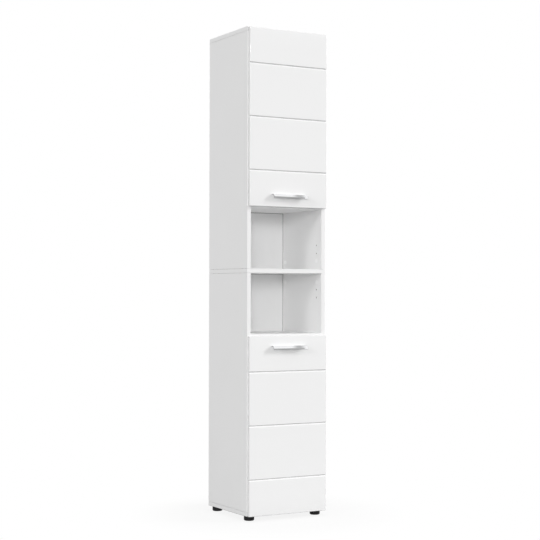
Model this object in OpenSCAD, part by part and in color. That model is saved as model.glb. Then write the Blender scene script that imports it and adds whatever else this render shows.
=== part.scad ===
// Bathroom storage tower: two cupboards with grooved doors and two open compartments between them.
// The front faces -Y, +Z is up, and the origin is at the bottom centre of the whole cabinet.

/* [Cabinet] */
// Overall width
body_w = 350; // [300:10:450]
// Overall height, feet included
body_h = 1900; // [1800:20:2100]
// Depth of the side boards
body_d = 320; // [280:10:400]
// Thickness of the cabinet boards
board_t = 16; // [15:1:19]
// Clear height of each open compartment
open_h = 236; // [228:4:280]
// Thickness of the back panels
back_t = 3; // [3:0.5:4]
// Distance from the rear edge of the boards to the rear of the back panels
back_inset = 15; // [10:1:20]
// Depth of the grooves that hold the back panels
groove_depth = 6; // [5:0.5:7]

/* [Doors] */
// Thickness of the doors
door_t = 15; // [15:1:19]
// Gap between a door and the front edges of the boards
door_gap = 1; // [1:0.25:2]
// How far a door's edge stays inside the cabinet's side
door_side_gap = 3; // [2:0.5:4]
// Distance from the cabinet's top to the upper door
upper_door_drop = 4; // [2:1:6]
// Distance from the underside of the bottom board to the lower door
lower_door_rise = 0; // [0:1:4]
// Strip of the upper fixed shelf's edge that shows below the upper door
upper_edge_show = 4; // [2:1:6]
// Strip of the lower fixed shelf's edge that shows above the lower door
lower_edge_show = 8; // [4:1:10]
// Distance from a door's end to its outer routed line
line_end = 138; // [130:2:160]
// Width of a routed line at the face
line_w = 8.5; // [5:0.5:9]
// Depth of a routed line
line_depth = 4; // [1.5:0.25:4]
// Radius of the doors' front edges
door_edge_r = 2; // [1:0.5:3]

/* [Handles] */
// Length of a handle
handle_l = 152; // [140:2:200]
// Height of a handle
handle_h = 15; // [12:0.5:20]
// How far a handle stands out from its door
handle_depth = 22; // [18:1:28]
// Wall of a handle's shell
handle_wall = 2.5; // [2:0.25:3]
// Distance from a handle's screws to the door's end beside the open compartment
handle_end = 43; // [36:1:60]
// Height of a handle's top above its screws
handle_rise = 5.5; // [5:0.25:7]
// Distance between a handle's two screws
handle_pitch = 128; // [96:32:128]
// Diameter of a handle's screws
handle_screw_d = 4; // [4:0.5:5]

/* [Hinges] */
// Distance from a side board's end to the middle of its outer hinge
hinge_end = 80; // [70:2:90]
// Distance from the middle board to the middle of the hinge near it
hinge_near = 336; // [330:2:350]
// Diameter of a hinge cup
cup_d = 35; // [35:1:40]
// Depth of a hinge cup's bore
cup_depth = 11.5; // [11:0.25:12]
// Rim of wood between a cup's bore and the door's edge
cup_rim = 5; // [4:0.5:6]
// Distance from the boards' front edge to the hinge plate's screws
plate_setback = 37; // [37:1:45]

/* [Shelves] */
// Distance from the middle board to the pins of the adjustable shelf nearer to it
near_pin_level = 460; // [420:10:500]
// Distance from the middle board to the pins of the other adjustable shelf
far_pin_level = 680; // [600:10:720]
// Space between an adjustable shelf's end and the side board
shelf_play = 1; // [0.5:0.5:2]
// How far an adjustable shelf stays behind the boards' front edge
shelf_setback = 10; // [5:1:30]
// Diameter of the shelf pins
pin_d = 5; // [5:0.5:6]

/* [Feet] */
// Diameter of a foot
foot_d = 40; // [30:2:50]
// Height of a foot
foot_h = 20; // [15:1:30]
// Distance from the cabinet's side to a foot's middle
foot_side = 27; // [26:1:40]
// Distance from the boards' front edge to a front foot's middle
foot_front = 30; // [26:1:50]
// Distance from the boards' rear edge to a rear foot's middle
foot_rear = 26; // [26:1:50]

/* [Fittings] */
// Distance from a board's end to the middle of its cam lock
cam_back = 34; // [24:2:34]
// Distance from a board's front or rear edge to the cam locks
cam_edge = 37; // [37:1:45]
// Diameter of a cam lock
cam_d = 15; // [12:1:15]
// Diameter of a cover cap
cap_d = 17; // [16:0.5:20]
// Diameter of the wooden dowels
dowel_d = 8; // [6:1:8]
// Diameter of the hole for the wall screw
wall_hole_d = 5.5; // [4.5:0.5:8]

/* [Hidden] */

$fn = 48;
board_color = [0.93, 0.93, 0.94];
door_color = [0.97, 0.97, 0.98];
chrome_color = [0.8, 0.81, 0.83];
steel_color = [0.7, 0.71, 0.73];
wood_color = [0.82, 0.68, 0.48];
foot_color = [0.08, 0.08, 0.09];
over = 1;            // how far a cut runs past the face that it opens
fit = 0.1;           // radial play of a fastener in its hole

// levels above the floor
bottom_z0 = foot_h;
bottom_z1 = bottom_z0 + board_t;
top_z0 = body_h - board_t;
middle_z = (bottom_z0 + body_h) / 2;
middle_z0 = middle_z - board_t / 2;
middle_z1 = middle_z + board_t / 2;
side_h = top_z0 - middle_z1;

// plan of the cabinet: depths run backwards from the boards' front edge
inner_w = body_w - 2 * board_t;
inner_x = inner_w / 2;
front_y = (door_gap + door_t + handle_depth - body_d) / 2;
back_at = body_d - back_inset - back_t;
back_play = 0.2;
groove_w = back_t + 2 * back_play;
groove_reach = groove_depth - 1;

// doors
door_w = body_w - 2 * door_side_gap;
door_x1 = door_w / 2;
upper_door_z0 = middle_z1 + open_h + upper_edge_show;
upper_door_h = body_h - upper_door_drop - upper_door_z0;
lower_door_z0 = bottom_z0 + lower_door_rise;
lower_door_h = middle_z0 - open_h - lower_edge_show - lower_door_z0;
hinge_levels = [hinge_near, side_h - hinge_end];
handle_screw_levels = [-handle_pitch / 2, handle_pitch / 2];

// cam joints
cam_depth = 12.5;
cam_levels_y = [cam_edge, body_d - cam_edge];
dowel_levels_y = [cam_edge + 32, body_d - cam_edge - 32];
bolt_bore_r = 4;
bolt_thread_r = 2.5;
bolt_thread_l = 11;
shelf_cam_y = [cam_edge + 24, back_at - cam_edge - 24];
dowel_in = 22;
dowel_out = 6.5;
dowel_room = 0.5;

// shelf pins
pin_front = cam_edge;
pin_rear = back_at - cam_edge;
pin_hole_l = 9;
pin_tab = 9;
pin_tab_w = 8;
pin_row_step = 32;
pin_levels = [near_pin_level, far_pin_level];

// hinges: u runs inwards from the side board's inner face
cup_x = door_x1 - cup_rim - cup_d / 2;
cup_floor_t = 1.2;
flange_t = 0.8;
flange_w = 26;
flange_h = 56;
flange_in = 4.5;
cup_screw_in = 9.5;
cup_screw_z = 24;
cup_screw_r = 1.75;
cup_screw_l = 12;
pocket_w = 31;
pocket_h = 16;
plate_pitch = 32;
plate_screw_r = 2.4;
plate_screw_in = 12;
arm_screw_r = 2;
arm_screw_y = 56;
arm_screw_in = 8;
link_pin_r = 1.25;
link_fit = 0.05;

// ---------------------------------------------------------------- small helpers

// mirrors its children to both sides of the cabinet
module both_sides() {
  children();
  mirror([1, 0, 0]) children();
}

// puts its children at a cabinet depth and a height
module at(x, depth, z) {
  translate([x, front_y + depth, z]) children();
}

// a round cut that starts at a face, with its axis along the given turn of +Z
module drill(r, depth, turn = [0, 0, 0]) {
  rotate(turn) translate([0, 0, -over]) cylinder(r = r, h = depth + over);
}

// a countersunk wood screw, pointing along +Z, with the top of its head at z = 0
module screw(r, length, head_r, head_h) {
  cylinder(r1 = head_r, r2 = r, h = head_h);
  cylinder(r = r, h = length);
}

// ---------------------------------------------------------------- boards

// the upper right side board, from the middle board up: x from its inner face, y from its front edge
module side_board() {
  mid = board_t / 2;
  color(board_color)
  difference() {
    cube([board_t, body_d, side_h]);
    translate([-over, back_at - back_play, -over])
      cube([groove_depth + over, groove_w, side_h + 2 * over]);
    for (y = cam_levels_y) {
      for (z = [cam_back, side_h - cam_back])
        translate([0, y, z]) drill(cam_d / 2 + fit, cam_depth, [0, 90, 0]);
      translate([mid, y, 0]) drill(bolt_bore_r, cam_back);
      translate([mid, y, side_h]) drill(bolt_bore_r, cam_back, [180, 0, 0]);
    }
    for (y = dowel_levels_y) {
      translate([mid, y, 0]) drill(dowel_d / 2 + fit, dowel_in + dowel_room);
      translate([mid, y, side_h]) drill(dowel_d / 2 + fit, dowel_in + dowel_room, [180, 0, 0]);
    }
    // hinge plate holes: both ends and the hinge near the middle, so one board fits all four places
    for (z = [hinge_end, hinge_near, side_h - hinge_end], s = [-1, 1])
      translate([0, plate_setback, z + s * plate_pitch / 2])
        drill(plate_screw_r + fit, plate_screw_in, [0, 90, 0]);
    // fixed shelf: bolts and one dowel
    for (y = shelf_cam_y)
      translate([0, y, open_h + mid]) drill(bolt_thread_r + fit, bolt_thread_l, [0, 90, 0]);
    translate([0, back_at / 2, open_h + mid]) drill(dowel_d / 2 + fit, dowel_out + dowel_room, [0, 90, 0]);
    // rows of shelf pin holes
    for (level = pin_levels, step = [-1, 0, 1], y = [pin_front, pin_rear])
      translate([0, y, level + step * pin_row_step]) drill(pin_d / 2 + fit, pin_hole_l, [0, 90, 0]);
  }
}

module lower_right_side() at(inner_x, 0, middle_z0) mirror([0, 0, 1]) side_board();
module lower_left_side() mirror([1, 0, 0]) lower_right_side();
module upper_right_side() at(inner_x, 0, middle_z1) side_board();
module upper_left_side() mirror([1, 0, 0]) upper_right_side();

// cuts on the underside of a lying board: bolt threads, dowels and the back panel's groove
module lying_board_cuts() {
  x = inner_x + board_t / 2;
  for (s = [-1, 1]) {
    for (y = cam_levels_y)
      translate([s * x, y, 0]) drill(bolt_thread_r + fit, bolt_thread_l);
    for (y = dowel_levels_y)
      translate([s * x, y, 0]) drill(dowel_d / 2 + fit, dowel_out + dowel_room);
  }
  panel_groove();
}

module panel_groove() {
  translate([-inner_x - groove_reach, back_at - back_play, -over])
    cube([inner_w + 2 * groove_reach, groove_w, groove_depth + over]);
}

module lying_board() {
  translate([-body_w / 2, 0, 0]) cube([body_w, body_d, board_t]);
}

// middle of each foot, as seen from above
foot_places = [for (s = [-1, 1], d = [foot_front, body_d - foot_rear]) [s * (body_w / 2 - foot_side), d]];
foot_screw_r = 2;
foot_screw_in = 12;
foot_sink = 10;

module bottom_board() {
  color(board_color)
  at(0, 0, bottom_z0)
    difference() {
      lying_board();
      translate([0, 0, board_t]) mirror([0, 0, 1]) lying_board_cuts();
      for (p = foot_places)
        translate([p[0], p[1], 0]) drill(foot_screw_r + fit, foot_screw_in);
    }
}

module middle_board() {
  x = inner_x + board_t / 2;
  color(board_color)
  at(0, 0, middle_z0)
    difference() {
      lying_board();
      for (s = [-1, 1]) {
        for (y = cam_levels_y)
          translate([s * x, y, 0]) drill(bolt_bore_r, board_t + over);
        for (y = dowel_levels_y) {
          translate([s * x, y, 0]) drill(dowel_d / 2 + fit, dowel_out + dowel_room);
          translate([s * x, y, board_t]) drill(dowel_d / 2 + fit, dowel_out + dowel_room, [180, 0, 0]);
        }
      }
      panel_groove();
      translate([0, 0, board_t]) mirror([0, 0, 1]) panel_groove();
    }
}

bracket_leg = 30;
bracket_w = 30;
bracket_t = 2;
bracket_screw_r = 1.75;
bracket_screw_in = 12;
bracket_screw_x = [-8, 8];
bracket_screw_y = back_at - 18;
wall_hole_z = top_z0 - 18;

module top_board() {
  color(board_color)
  at(0, 0, top_z0)
    difference() {
      lying_board();
      lying_board_cuts();
      for (x = bracket_screw_x)
        translate([x, bracket_screw_y, 0]) drill(bracket_screw_r + fit, bracket_screw_in);
    }
}

// a fixed shelf with its cam side up
module fixed_shelf() {
  mid = board_t / 2;
  color(board_color)
  difference() {
    translate([-inner_x, 0, 0]) cube([inner_w, back_at - dowel_room, board_t]);
    for (s = [-1, 1]) {
      for (y = shelf_cam_y) {
        translate([s * (inner_x - cam_back), y, board_t]) drill(cam_d / 2 + fit, cam_depth, [180, 0, 0]);
        translate([s * inner_x, y, mid]) drill(bolt_bore_r, cam_back, [0, -90 * s, 0]);
      }
      translate([s * inner_x, back_at / 2, mid])
        drill(dowel_d / 2 + fit, dowel_in + dowel_room, [0, -90 * s, 0]);
    }
  }
}

module upper_fixed_shelf() at(0, 0, middle_z1 + open_h) fixed_shelf();
module lower_fixed_shelf() at(0, 0, middle_z0 - open_h) mirror([0, 0, 1]) fixed_shelf();

// a back panel, its edges in the grooves of the boards around it
module back_panel(z0, z1) {
  color(board_color)
  at(-inner_x - groove_reach, back_at, z0 - groove_reach)
    cube([inner_w + 2 * groove_reach, back_t, z1 - z0 + 2 * groove_reach]);
}

module lower_back_panel() back_panel(bottom_z1, middle_z0);

module upper_back_panel() {
  difference() {
    back_panel(middle_z1, top_z0);
    at(0, back_at, wall_hole_z) drill(wall_hole_d / 2, back_t + over, [-90, 0, 0]);
  }
}

// ---------------------------------------------------------------- adjustable shelves

pin_top = pin_d / 2;

module loose_shelf(z) {
  color(board_color)
  at(-inner_x + shelf_play, shelf_setback, z)
    cube([inner_w - 2 * shelf_play, back_at - shelf_setback - 2, board_t]);
}

module upper_shelf_1() loose_shelf(middle_z1 + pin_levels[0] + pin_top);
module upper_shelf_2() loose_shelf(middle_z1 + pin_levels[1] + pin_top);
module lower_shelf_1() loose_shelf(middle_z0 - pin_levels[0] + pin_top);
module lower_shelf_2() loose_shelf(middle_z0 - pin_levels[1] + pin_top);

// a pin in the right side board, its axis along X
module shelf_pin() {
  rotate([0, 90, 0]) translate([0, 0, -pin_tab]) cylinder(d = pin_d, h = pin_tab + pin_hole_l - dowel_room);
  translate([-pin_tab, -pin_tab_w / 2, -pin_top]) cube([pin_tab, pin_tab_w, pin_d]);
}

module shelf_pins() {
  color(steel_color)
  both_sides()
    for (level = pin_levels, z = [middle_z1 + level, middle_z0 - level], y = [pin_front, pin_rear])
      at(inner_x, y, z) shelf_pin();
}

// ---------------------------------------------------------------- doors

// plan of a door, its front at y = 0, with rounded front edges
module door_plan() {
  r = door_edge_r;
  translate([-door_x1, r]) square([door_w, door_t - r]);
  translate([-door_x1 + r, 0]) square([door_w - 2 * r, r + 0.1]);
  for (s = [-1, 1])
    translate([s * (door_x1 - r), r]) circle(r = r);
}

// side view of a door: x is its depth, y its height
module door_section(h) {
  r = door_edge_r;
  half = (h - 2 * line_end) / 2;
  difference() {
    union() {
      translate([r, 0]) square([door_t - r, h]);
      translate([0, r]) square([r + 0.1, h - 2 * r]);
      for (z = [r, h - r])
        translate([r, z]) circle(r = r);
    }
    for (i = [0, 1, 2])
      translate([0, line_end + i * half])
        polygon([[-over, -line_w / 2], [0, -line_w / 2], [line_depth, -line_w / 8],
                 [line_depth, line_w / 8], [0, line_w / 2], [-over, line_w / 2]]);
  }
}

// a door at its place: z0 is its lower end, hinges and screws are levels above the floor
module door(z0, h, hinges, handle_z) {
  color(door_color)
  at(0, -door_gap - door_t, z0)
    difference() {
      intersection() {
        linear_extrude(height = h) door_plan();
        translate([-body_w, 0, 0])
          rotate([90, 0, 90]) linear_extrude(height = 2 * body_w) door_section(h);
      }
      for (z = hinges) {
        translate([cup_x, door_t, z - z0]) drill(cup_d / 2 + fit, cup_depth, [90, 0, 0]);
        for (s = [-1, 1])
          translate([cup_x - cup_screw_in, door_t, z - z0 + s * cup_screw_z])
            drill(cup_screw_r + fit, cup_screw_l, [90, 0, 0]);
      }
      for (x = handle_screw_levels)
        translate([x, door_t, handle_z - z0])
          drill(handle_screw_d / 2 + fit, door_t + over, [90, 0, 0]);
    }
}

upper_hinges = [for (level = hinge_levels) middle_z1 + level];
lower_hinges = [for (level = hinge_levels) middle_z0 - level];
upper_handle_z = upper_door_z0 + handle_end;
lower_handle_z = lower_door_z0 + lower_door_h - handle_end;

module upper_door() door(upper_door_z0, upper_door_h, upper_hinges, upper_handle_z);
module lower_door() door(lower_door_z0, lower_door_h, lower_hinges, lower_handle_z);

// ---------------------------------------------------------------- handles

handle_boss_r = 4.5;
knee_out = 6.5;      // how far the nearly flat top of a handle reaches out from the door
knee_drop = 0.7;     // how much the top falls by there
lip_h = 4.5;         // height of the handle's upright front edge

// side view of a handle: outer line from the door's face at the top over the knee to the lip at the bottom
shell_fall = (handle_h - knee_drop - lip_h) / (handle_depth - knee_out);
shell_outside = [[0, 0], [0, handle_h], [knee_out, handle_h - knee_drop], [handle_depth, lip_h], [handle_depth, 0]];

// the same for the hollow, a wall's thickness inside the outer line
top_fall = knee_drop / knee_out;
room_top = handle_h - handle_wall / cos(atan(top_fall));
room_front = handle_depth - handle_wall;
room_slope = lip_h + shell_fall * (handle_depth - handle_wall / sin(atan(shell_fall)));
room_knee = (room_slope - room_top) / (shell_fall - top_fall);
shell_inside = [[0, 0], [0, room_top], [room_knee, room_top - room_knee * top_fall],
                [room_front, room_slope - room_front * shell_fall], [room_front, 0]];

// a bar with a handle's side view
module shell_block(side, length) {
  translate([-length / 2, 0, 0])
    rotate([90, 0, 90])
      linear_extrude(height = length)
        mirror([1, 0]) polygon(side);
}

// a handle with its screws at z = 0 and the door's face at y = 0
module handle() {
  low = handle_rise - handle_h;
  color(chrome_color)
  difference() {
    intersection() {
      translate([0, 0, low]) shell_block(shell_outside, handle_l);
      union() {
        difference() {
          translate([-handle_l / 2, -handle_depth, low]) cube([handle_l, handle_depth, handle_h]);
          translate([0, 0, low]) shell_block(shell_inside, handle_l + 2 * over);
        }
        for (x = handle_screw_levels)
          translate([x, 0, 0]) rotate([90, 0, 0]) cylinder(r = handle_boss_r, h = handle_depth);
      }
    }
    for (x = handle_screw_levels)
      translate([x, 0, 0]) drill(handle_screw_d / 2 + fit, handle_thread_l, [90, 0, 0]);
  }
}

handle_thread_l = 9;
handle_face = -door_gap - door_t;

module upper_handle() at(0, handle_face, upper_handle_z) handle();
module lower_handle() at(0, handle_face, lower_handle_z) handle();

// machine screws from the back of a door into its handle
screw_head_r = 4;
screw_head_h = 2.2;

module handle_screws(z) {
  color(steel_color)
  for (x = handle_screw_levels)
    at(x, -door_gap, z) {
      rotate([-90, 0, 0]) cylinder(r = screw_head_r, h = screw_head_h);
      rotate([90, 0, 0]) cylinder(d = handle_screw_d, h = door_t + handle_thread_l - dowel_room);
    }
}

module upper_handle_screws() handle_screws(upper_handle_z);
module lower_handle_screws() handle_screws(lower_handle_z);

// ---------------------------------------------------------------- door bumpers

bumper_r = 4;
bumper_t = door_gap - 0.2;
bumper_end = 30;

module door_bumpers(z0, h) {
  color([0.9, 0.9, 0.88])
  for (z = [z0 + bumper_end, z0 + h - bumper_end])
    at(-inner_x - board_t / 2 + 1, -door_gap, z)
      rotate([-90, 0, 0]) cylinder(r = bumper_r, h = bumper_t);
}

module upper_door_bumpers() door_bumpers(upper_door_z0, upper_door_h);
module lower_door_bumpers() door_bumpers(lower_door_z0, lower_door_h);

// ---------------------------------------------------------------- hinges

// a cup with its flange, seen from the back of the door: the flange's underside at y = 0
module hinge_cup() {
  r = cup_d / 2;
  difference() {
    union() {
      rotate([90, 0, 0]) cylinder(r = r, h = cup_depth - 0.3);
      rotate([-90, 0, 0]) cylinder(r = r + 1, h = flange_t);
      translate([-flange_in - flange_w / 2, 0, -flange_h / 2]) cube([flange_w, flange_t, flange_h]);
    }
    translate([-pocket_w / 2, -cup_depth + 0.3 + cup_floor_t, -pocket_h / 2])
      cube([pocket_w, cup_depth + over, pocket_h]);
    for (s = [-1, 1])
      translate([-cup_screw_in, flange_t, s * cup_screw_z]) drill(cup_screw_r + fit, flange_t + over, [90, 0, 0]);
  }
}

module hinge_cups(levels) {
  color(chrome_color)
  for (z = levels) at(cup_x, -door_gap, z) hinge_cup();
}

module upper_hinge_cups() hinge_cups(upper_hinges);
module lower_hinge_cups() hinge_cups(lower_hinges);

// a pin that crosses each cup's pocket
cup_pin_x = 3;
cup_pin_y = -6.5;

module cup_pins(levels) {
  color(steel_color)
  for (z = levels)
    at(cup_x + cup_pin_x, -door_gap + cup_pin_y, z - pocket_h / 2)
      cylinder(r = link_pin_r, h = pocket_h);
}

module upper_cup_pins() cup_pins(upper_hinges);
module lower_cup_pins() cup_pins(lower_hinges);

module cup_screws(levels) {
  color(steel_color)
  for (z = levels, s = [-1, 1])
    at(cup_x - cup_screw_in, -door_gap + flange_t, z + s * cup_screw_z) {
      rotate([-90, 0, 0]) cylinder(r = 3.2, h = 1);
      rotate([90, 0, 0]) cylinder(r = cup_screw_r, h = cup_screw_l);
    }
}

module upper_cup_screws() cup_screws(upper_hinges);
module lower_cup_screws() cup_screws(lower_hinges);

// mounting plate on the side board: x runs from its face to the right, so the plate lies at x < 0
plate_wing_t = 2.5;
plate_wing_y = 18;
plate_wing_z = 50;
plate_body_w = 12;
plate_body_h = 12;
plate_body_y = [22, 66];
arm_wall = 1.5;
arm_w = plate_body_w + 2 * arm_wall + 0.4;
arm_rear = 72;
arm_web_u = plate_body_h;
arm_base_u = 3;

module hinge_plate() {
  difference() {
    union() {
      translate([-plate_wing_t, plate_setback - plate_wing_y / 2, -plate_wing_z / 2])
        cube([plate_wing_t, plate_wing_y, plate_wing_z]);
      translate([-plate_body_h, plate_body_y[0], -plate_body_w / 2])
        cube([plate_body_h, plate_body_y[1] - plate_body_y[0], plate_body_w]);
    }
    for (s = [-1, 1])
      translate([-plate_wing_t, plate_setback, s * plate_pitch / 2]) drill(plate_screw_r + fit, plate_wing_t + over, [0, 90, 0]);
    translate([-plate_body_h, arm_screw_y, 0]) drill(arm_screw_r + fit, arm_screw_in, [0, 90, 0]);
  }
}

module hinge_plates() {
  color(chrome_color)
  for (z = concat(upper_hinges, lower_hinges)) at(inner_x, 0, z) hinge_plate();
}

module hinge_plate_screws() {
  color(steel_color)
  for (z = concat(upper_hinges, lower_hinges), s = [-1, 1])
    at(inner_x - plate_wing_t, plate_setback, z + s * plate_pitch / 2) {
      rotate([0, -90, 0]) cylinder(r = 3.6, h = 1.8);
      rotate([0, 90, 0]) cylinder(r = plate_screw_r, h = plate_wing_t + plate_screw_in - 1);
    }
}

// plan of a hinge: the arm's pivot and the far end of the link, as [x, depth]
arm_pivot = [inner_x - 2.8, 2.5];
link_end = [cup_x - 12, -door_gap - 7.5];
link_bulge = 8;
link_half_t = 1.15;
link_eye_r = 2.3;
link_end_r = 2.1;
link_w = 11;
link_steps = 12;
link_run = link_end - arm_pivot;
link_side = [link_run[1], -link_run[0]] / norm(link_run);

// middle line of a link and the unit normal beside it
function link_point(t) = arm_pivot + t * link_run - 4 * t * (1 - t) * link_bulge * link_side * sign(link_side[0]);
function link_tangent(t) = link_run - 4 * (1 - 2 * t) * link_bulge * link_side * sign(link_side[0]);
function link_normal(t) = [-link_tangent(t)[1], link_tangent(t)[0]] / norm(link_tangent(t));

// curved links that swing on the arms' front pins as the doors open
module hinge_links(levels) {
  color(chrome_color)
  for (z = levels)
    at(0, 0, z - link_w / 2)
      difference() {
        union() {
          linear_extrude(height = link_w)
            polygon(concat(
              [for (i = [0 : link_steps]) link_point(i / link_steps) + link_half_t * link_normal(i / link_steps)],
              [for (i = [link_steps : -1 : 0]) link_point(i / link_steps) - link_half_t * link_normal(i / link_steps)]));
          translate(arm_pivot) cylinder(r = link_eye_r, h = link_w);
          translate(link_end) cylinder(r = link_end_r, h = link_w);
        }
        for (p = [arm_pivot, link_end])
          translate([p[0], p[1], -over]) cylinder(r = link_pin_r + link_fit, h = link_w + 2 * over);
      }
}

module upper_hinge_links() hinge_links(upper_hinges);
module lower_hinge_links() hinge_links(lower_hinges);

// the arm: a channel over the plate, with cheeks at its nose that carry the link's pin
nose_y = [0.8, 20];
nose_base_u = 0.5;
web_front_y = 9;

module hinge_arm() {
  top_u = arm_web_u + arm_wall;
  channel_w = arm_w - 2 * arm_wall;
  difference() {
    union() {
      translate([-top_u, nose_y[0], -arm_w / 2]) cube([top_u - arm_base_u, arm_rear - nose_y[0], arm_w]);
      translate([-top_u, nose_y[0], -arm_w / 2]) cube([top_u - nose_base_u, nose_y[1] - nose_y[0], arm_w]);
    }
    translate([-arm_web_u, 0, -channel_w / 2]) cube([arm_web_u, arm_rear + over, channel_w]);
    translate([-top_u - over, 0, -channel_w / 2]) cube([top_u + over, web_front_y, channel_w]);
    translate([-top_u, arm_screw_y, 0]) drill(arm_screw_r + fit, arm_wall + over, [0, 90, 0]);
    translate([arm_pivot[0] - inner_x, arm_pivot[1], -arm_w / 2])
      drill(link_pin_r + link_fit, arm_w + over);
  }
}

module hinge_arms() {
  color(chrome_color)
  for (z = concat(upper_hinges, lower_hinges)) at(inner_x, 0, z) hinge_arm();
}

module hinge_arm_screws() {
  color(steel_color)
  for (z = concat(upper_hinges, lower_hinges))
    at(inner_x - arm_web_u - arm_wall, arm_screw_y, z) {
      rotate([0, -90, 0]) cylinder(r = 3.5, h = 1.6);
      rotate([0, 90, 0]) cylinder(r = arm_screw_r, h = arm_wall + arm_screw_in - 1);
    }
}

module hinge_arm_pins() {
  color(steel_color)
  for (z = concat(upper_hinges, lower_hinges))
    at(arm_pivot[0], arm_pivot[1], z - arm_w / 2) cylinder(r = link_pin_r, h = arm_w);
}

// ---------------------------------------------------------------- cam joints

// a cam lock with its face at z = 0 and its mouth towards -Y
module cam_lock() {
  depth = cam_depth - 0.2;
  difference() {
    translate([0, 0, -depth]) cylinder(d = cam_d, h = depth);
    translate([0, 2.5, -board_t / 2]) rotate([90, 0, 0]) cylinder(r = bolt_bore_r - 0.3, h = cam_d);
    for (turn = [0, 90])
      rotate([0, 0, turn]) translate([-4, -0.6, -2]) cube([8, 1.2, 2 + over]);
  }
}

// places children at each cam lock, face up and mouth towards -Y
module at_cams() {
  both_sides() {
    for (y = cam_levels_y) {
      for (z = [middle_z1 + cam_back, bottom_z1 + cam_back])
        at(inner_x, y, z) rotate([0, -90, 0]) rotate([0, 0, -90]) children();
      for (z = [middle_z0 - cam_back, top_z0 - cam_back])
        at(inner_x, y, z) rotate([0, -90, 0]) rotate([0, 0, 90]) children();
    }
    for (y = shelf_cam_y) {
      at(inner_x - cam_back, y, middle_z1 + open_h + board_t) rotate([0, 0, 90]) children();
      at(inner_x - cam_back, y, middle_z0 - open_h - board_t) rotate([180, 0, -90]) children();
    }
  }
}

module cam_locks() color(steel_color) at_cams() cam_lock();

// a low domed cap over a cam lock
cap_t = 1;

module cam_cap() {
  rotate_extrude()
    polygon([[0, 0], [cap_d / 2, 0], [cap_d / 2, cap_t * 0.4], [cap_d / 2 - 0.6, cap_t * 0.85],
             [cap_d / 2 - 1.6, cap_t], [0, cap_t]]);
}

module cam_caps() color(board_color) at_cams() cam_cap();

// half of a bolt along +Z: collar, shank, neck and the head that sits in the cam lock
function bolt_half() = [
  [3.5, 0], [3.5, 2], [3, 2], [3, cam_back - 6], [1.8, cam_back - 6],
  [1.8, cam_back - 1.5], [3, cam_back - 1.5], [3, cam_back + 1.5], [0, cam_back + 1.5]];

module cam_bolt() {
  rotate_extrude()
    polygon(concat([[0, -bolt_thread_l + dowel_room], [bolt_thread_r, -bolt_thread_l + dowel_room],
                    [bolt_thread_r, 0]], bolt_half()));
}

module cam_bolts() {
  x = inner_x + board_t / 2;
  color(steel_color)
  both_sides() {
    for (y = cam_levels_y) {
      at(x, y, bottom_z1) cam_bolt();
      at(x, y, top_z0) mirror([0, 0, 1]) cam_bolt();
    }
    for (y = shelf_cam_y, z = [middle_z1 + open_h + board_t / 2, middle_z0 - open_h - board_t / 2])
      at(inner_x, y, z) rotate([0, -90, 0]) cam_bolt();
  }
}

// double-ended bolts through the middle board
module through_bolts() {
  color(steel_color)
  both_sides()
    for (y = cam_levels_y)
      at(inner_x + board_t / 2, y, middle_z)
        for (turn = [0, 180])
          rotate([turn, 0, 0])
            rotate_extrude()
              polygon(concat([[0, 0], [3.5, 0]], [for (p = bolt_half()) [p[0], p[1] + board_t / 2]]));
}

module dowel() {
  length = dowel_in + dowel_out;
  translate([0, 0, -dowel_out])
    rotate_extrude()
      polygon([[0, 0], [dowel_d / 2 - 1, 0], [dowel_d / 2, 1], [dowel_d / 2, length - 1],
               [dowel_d / 2 - 1, length], [0, length]]);
}

module dowels() {
  x = inner_x + board_t / 2;
  color(wood_color)
  both_sides() {
    for (y = dowel_levels_y) {
      for (z = [bottom_z1, middle_z1]) at(x, y, z) dowel();
      for (z = [middle_z0, top_z0]) at(x, y, z) mirror([0, 0, 1]) dowel();
    }
    for (z = [middle_z1 + open_h + board_t / 2, middle_z0 - open_h - board_t / 2])
      at(inner_x, back_at / 2, z) rotate([0, -90, 0]) dowel();
  }
}

// ---------------------------------------------------------------- feet and wall bracket

foot_round = 4.5;
foot_head_r = 6;

module foot() {
  r = foot_d / 2;
  difference() {
    rotate_extrude()
      polygon(concat([[0, 0], [r - foot_round, 0]],
                     [for (a = [15 : 15 : 90]) [r - foot_round + foot_round * sin(a), foot_round * (1 - cos(a))]],
                     [[r, foot_h], [0, foot_h]]));
    drill(foot_head_r, foot_sink);
    drill(foot_screw_r + fit, foot_h + over);
  }
}

module feet() {
  color(foot_color)
  for (p = foot_places) at(p[0], p[1], 0) foot();
}

module foot_screws() {
  color(steel_color)
  for (p = foot_places)
    at(p[0], p[1], foot_sink) {
      translate([0, 0, -2]) cylinder(r = 4.5, h = 2);
      cylinder(r = foot_screw_r, h = foot_h - foot_sink + foot_screw_in - dowel_room);
    }
}

module wall_bracket() {
  color(steel_color)
  difference() {
    union() {
      at(-bracket_w / 2, back_at - bracket_leg, top_z0 - bracket_t) cube([bracket_w, bracket_leg, bracket_t]);
      at(-bracket_w / 2, back_at - bracket_t, top_z0 - bracket_leg) cube([bracket_w, bracket_t, bracket_leg]);
    }
    at(0, back_at - bracket_t, wall_hole_z) drill(wall_hole_d / 2, bracket_t + over, [-90, 0, 0]);
    for (x = bracket_screw_x)
      at(x, bracket_screw_y, top_z0 - bracket_t) drill(bracket_screw_r + fit, bracket_t + over);
  }
}

module wall_bracket_screws() {
  color(steel_color)
  for (x = bracket_screw_x)
    at(x, bracket_screw_y, top_z0 - bracket_t) {
      translate([0, 0, -1.8]) cylinder(r = 3.5, h = 1.8);
      cylinder(r = bracket_screw_r, h = bracket_t + bracket_screw_in - dowel_room);
    }
}

// ---------------------------------------------------------------- drawing

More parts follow.
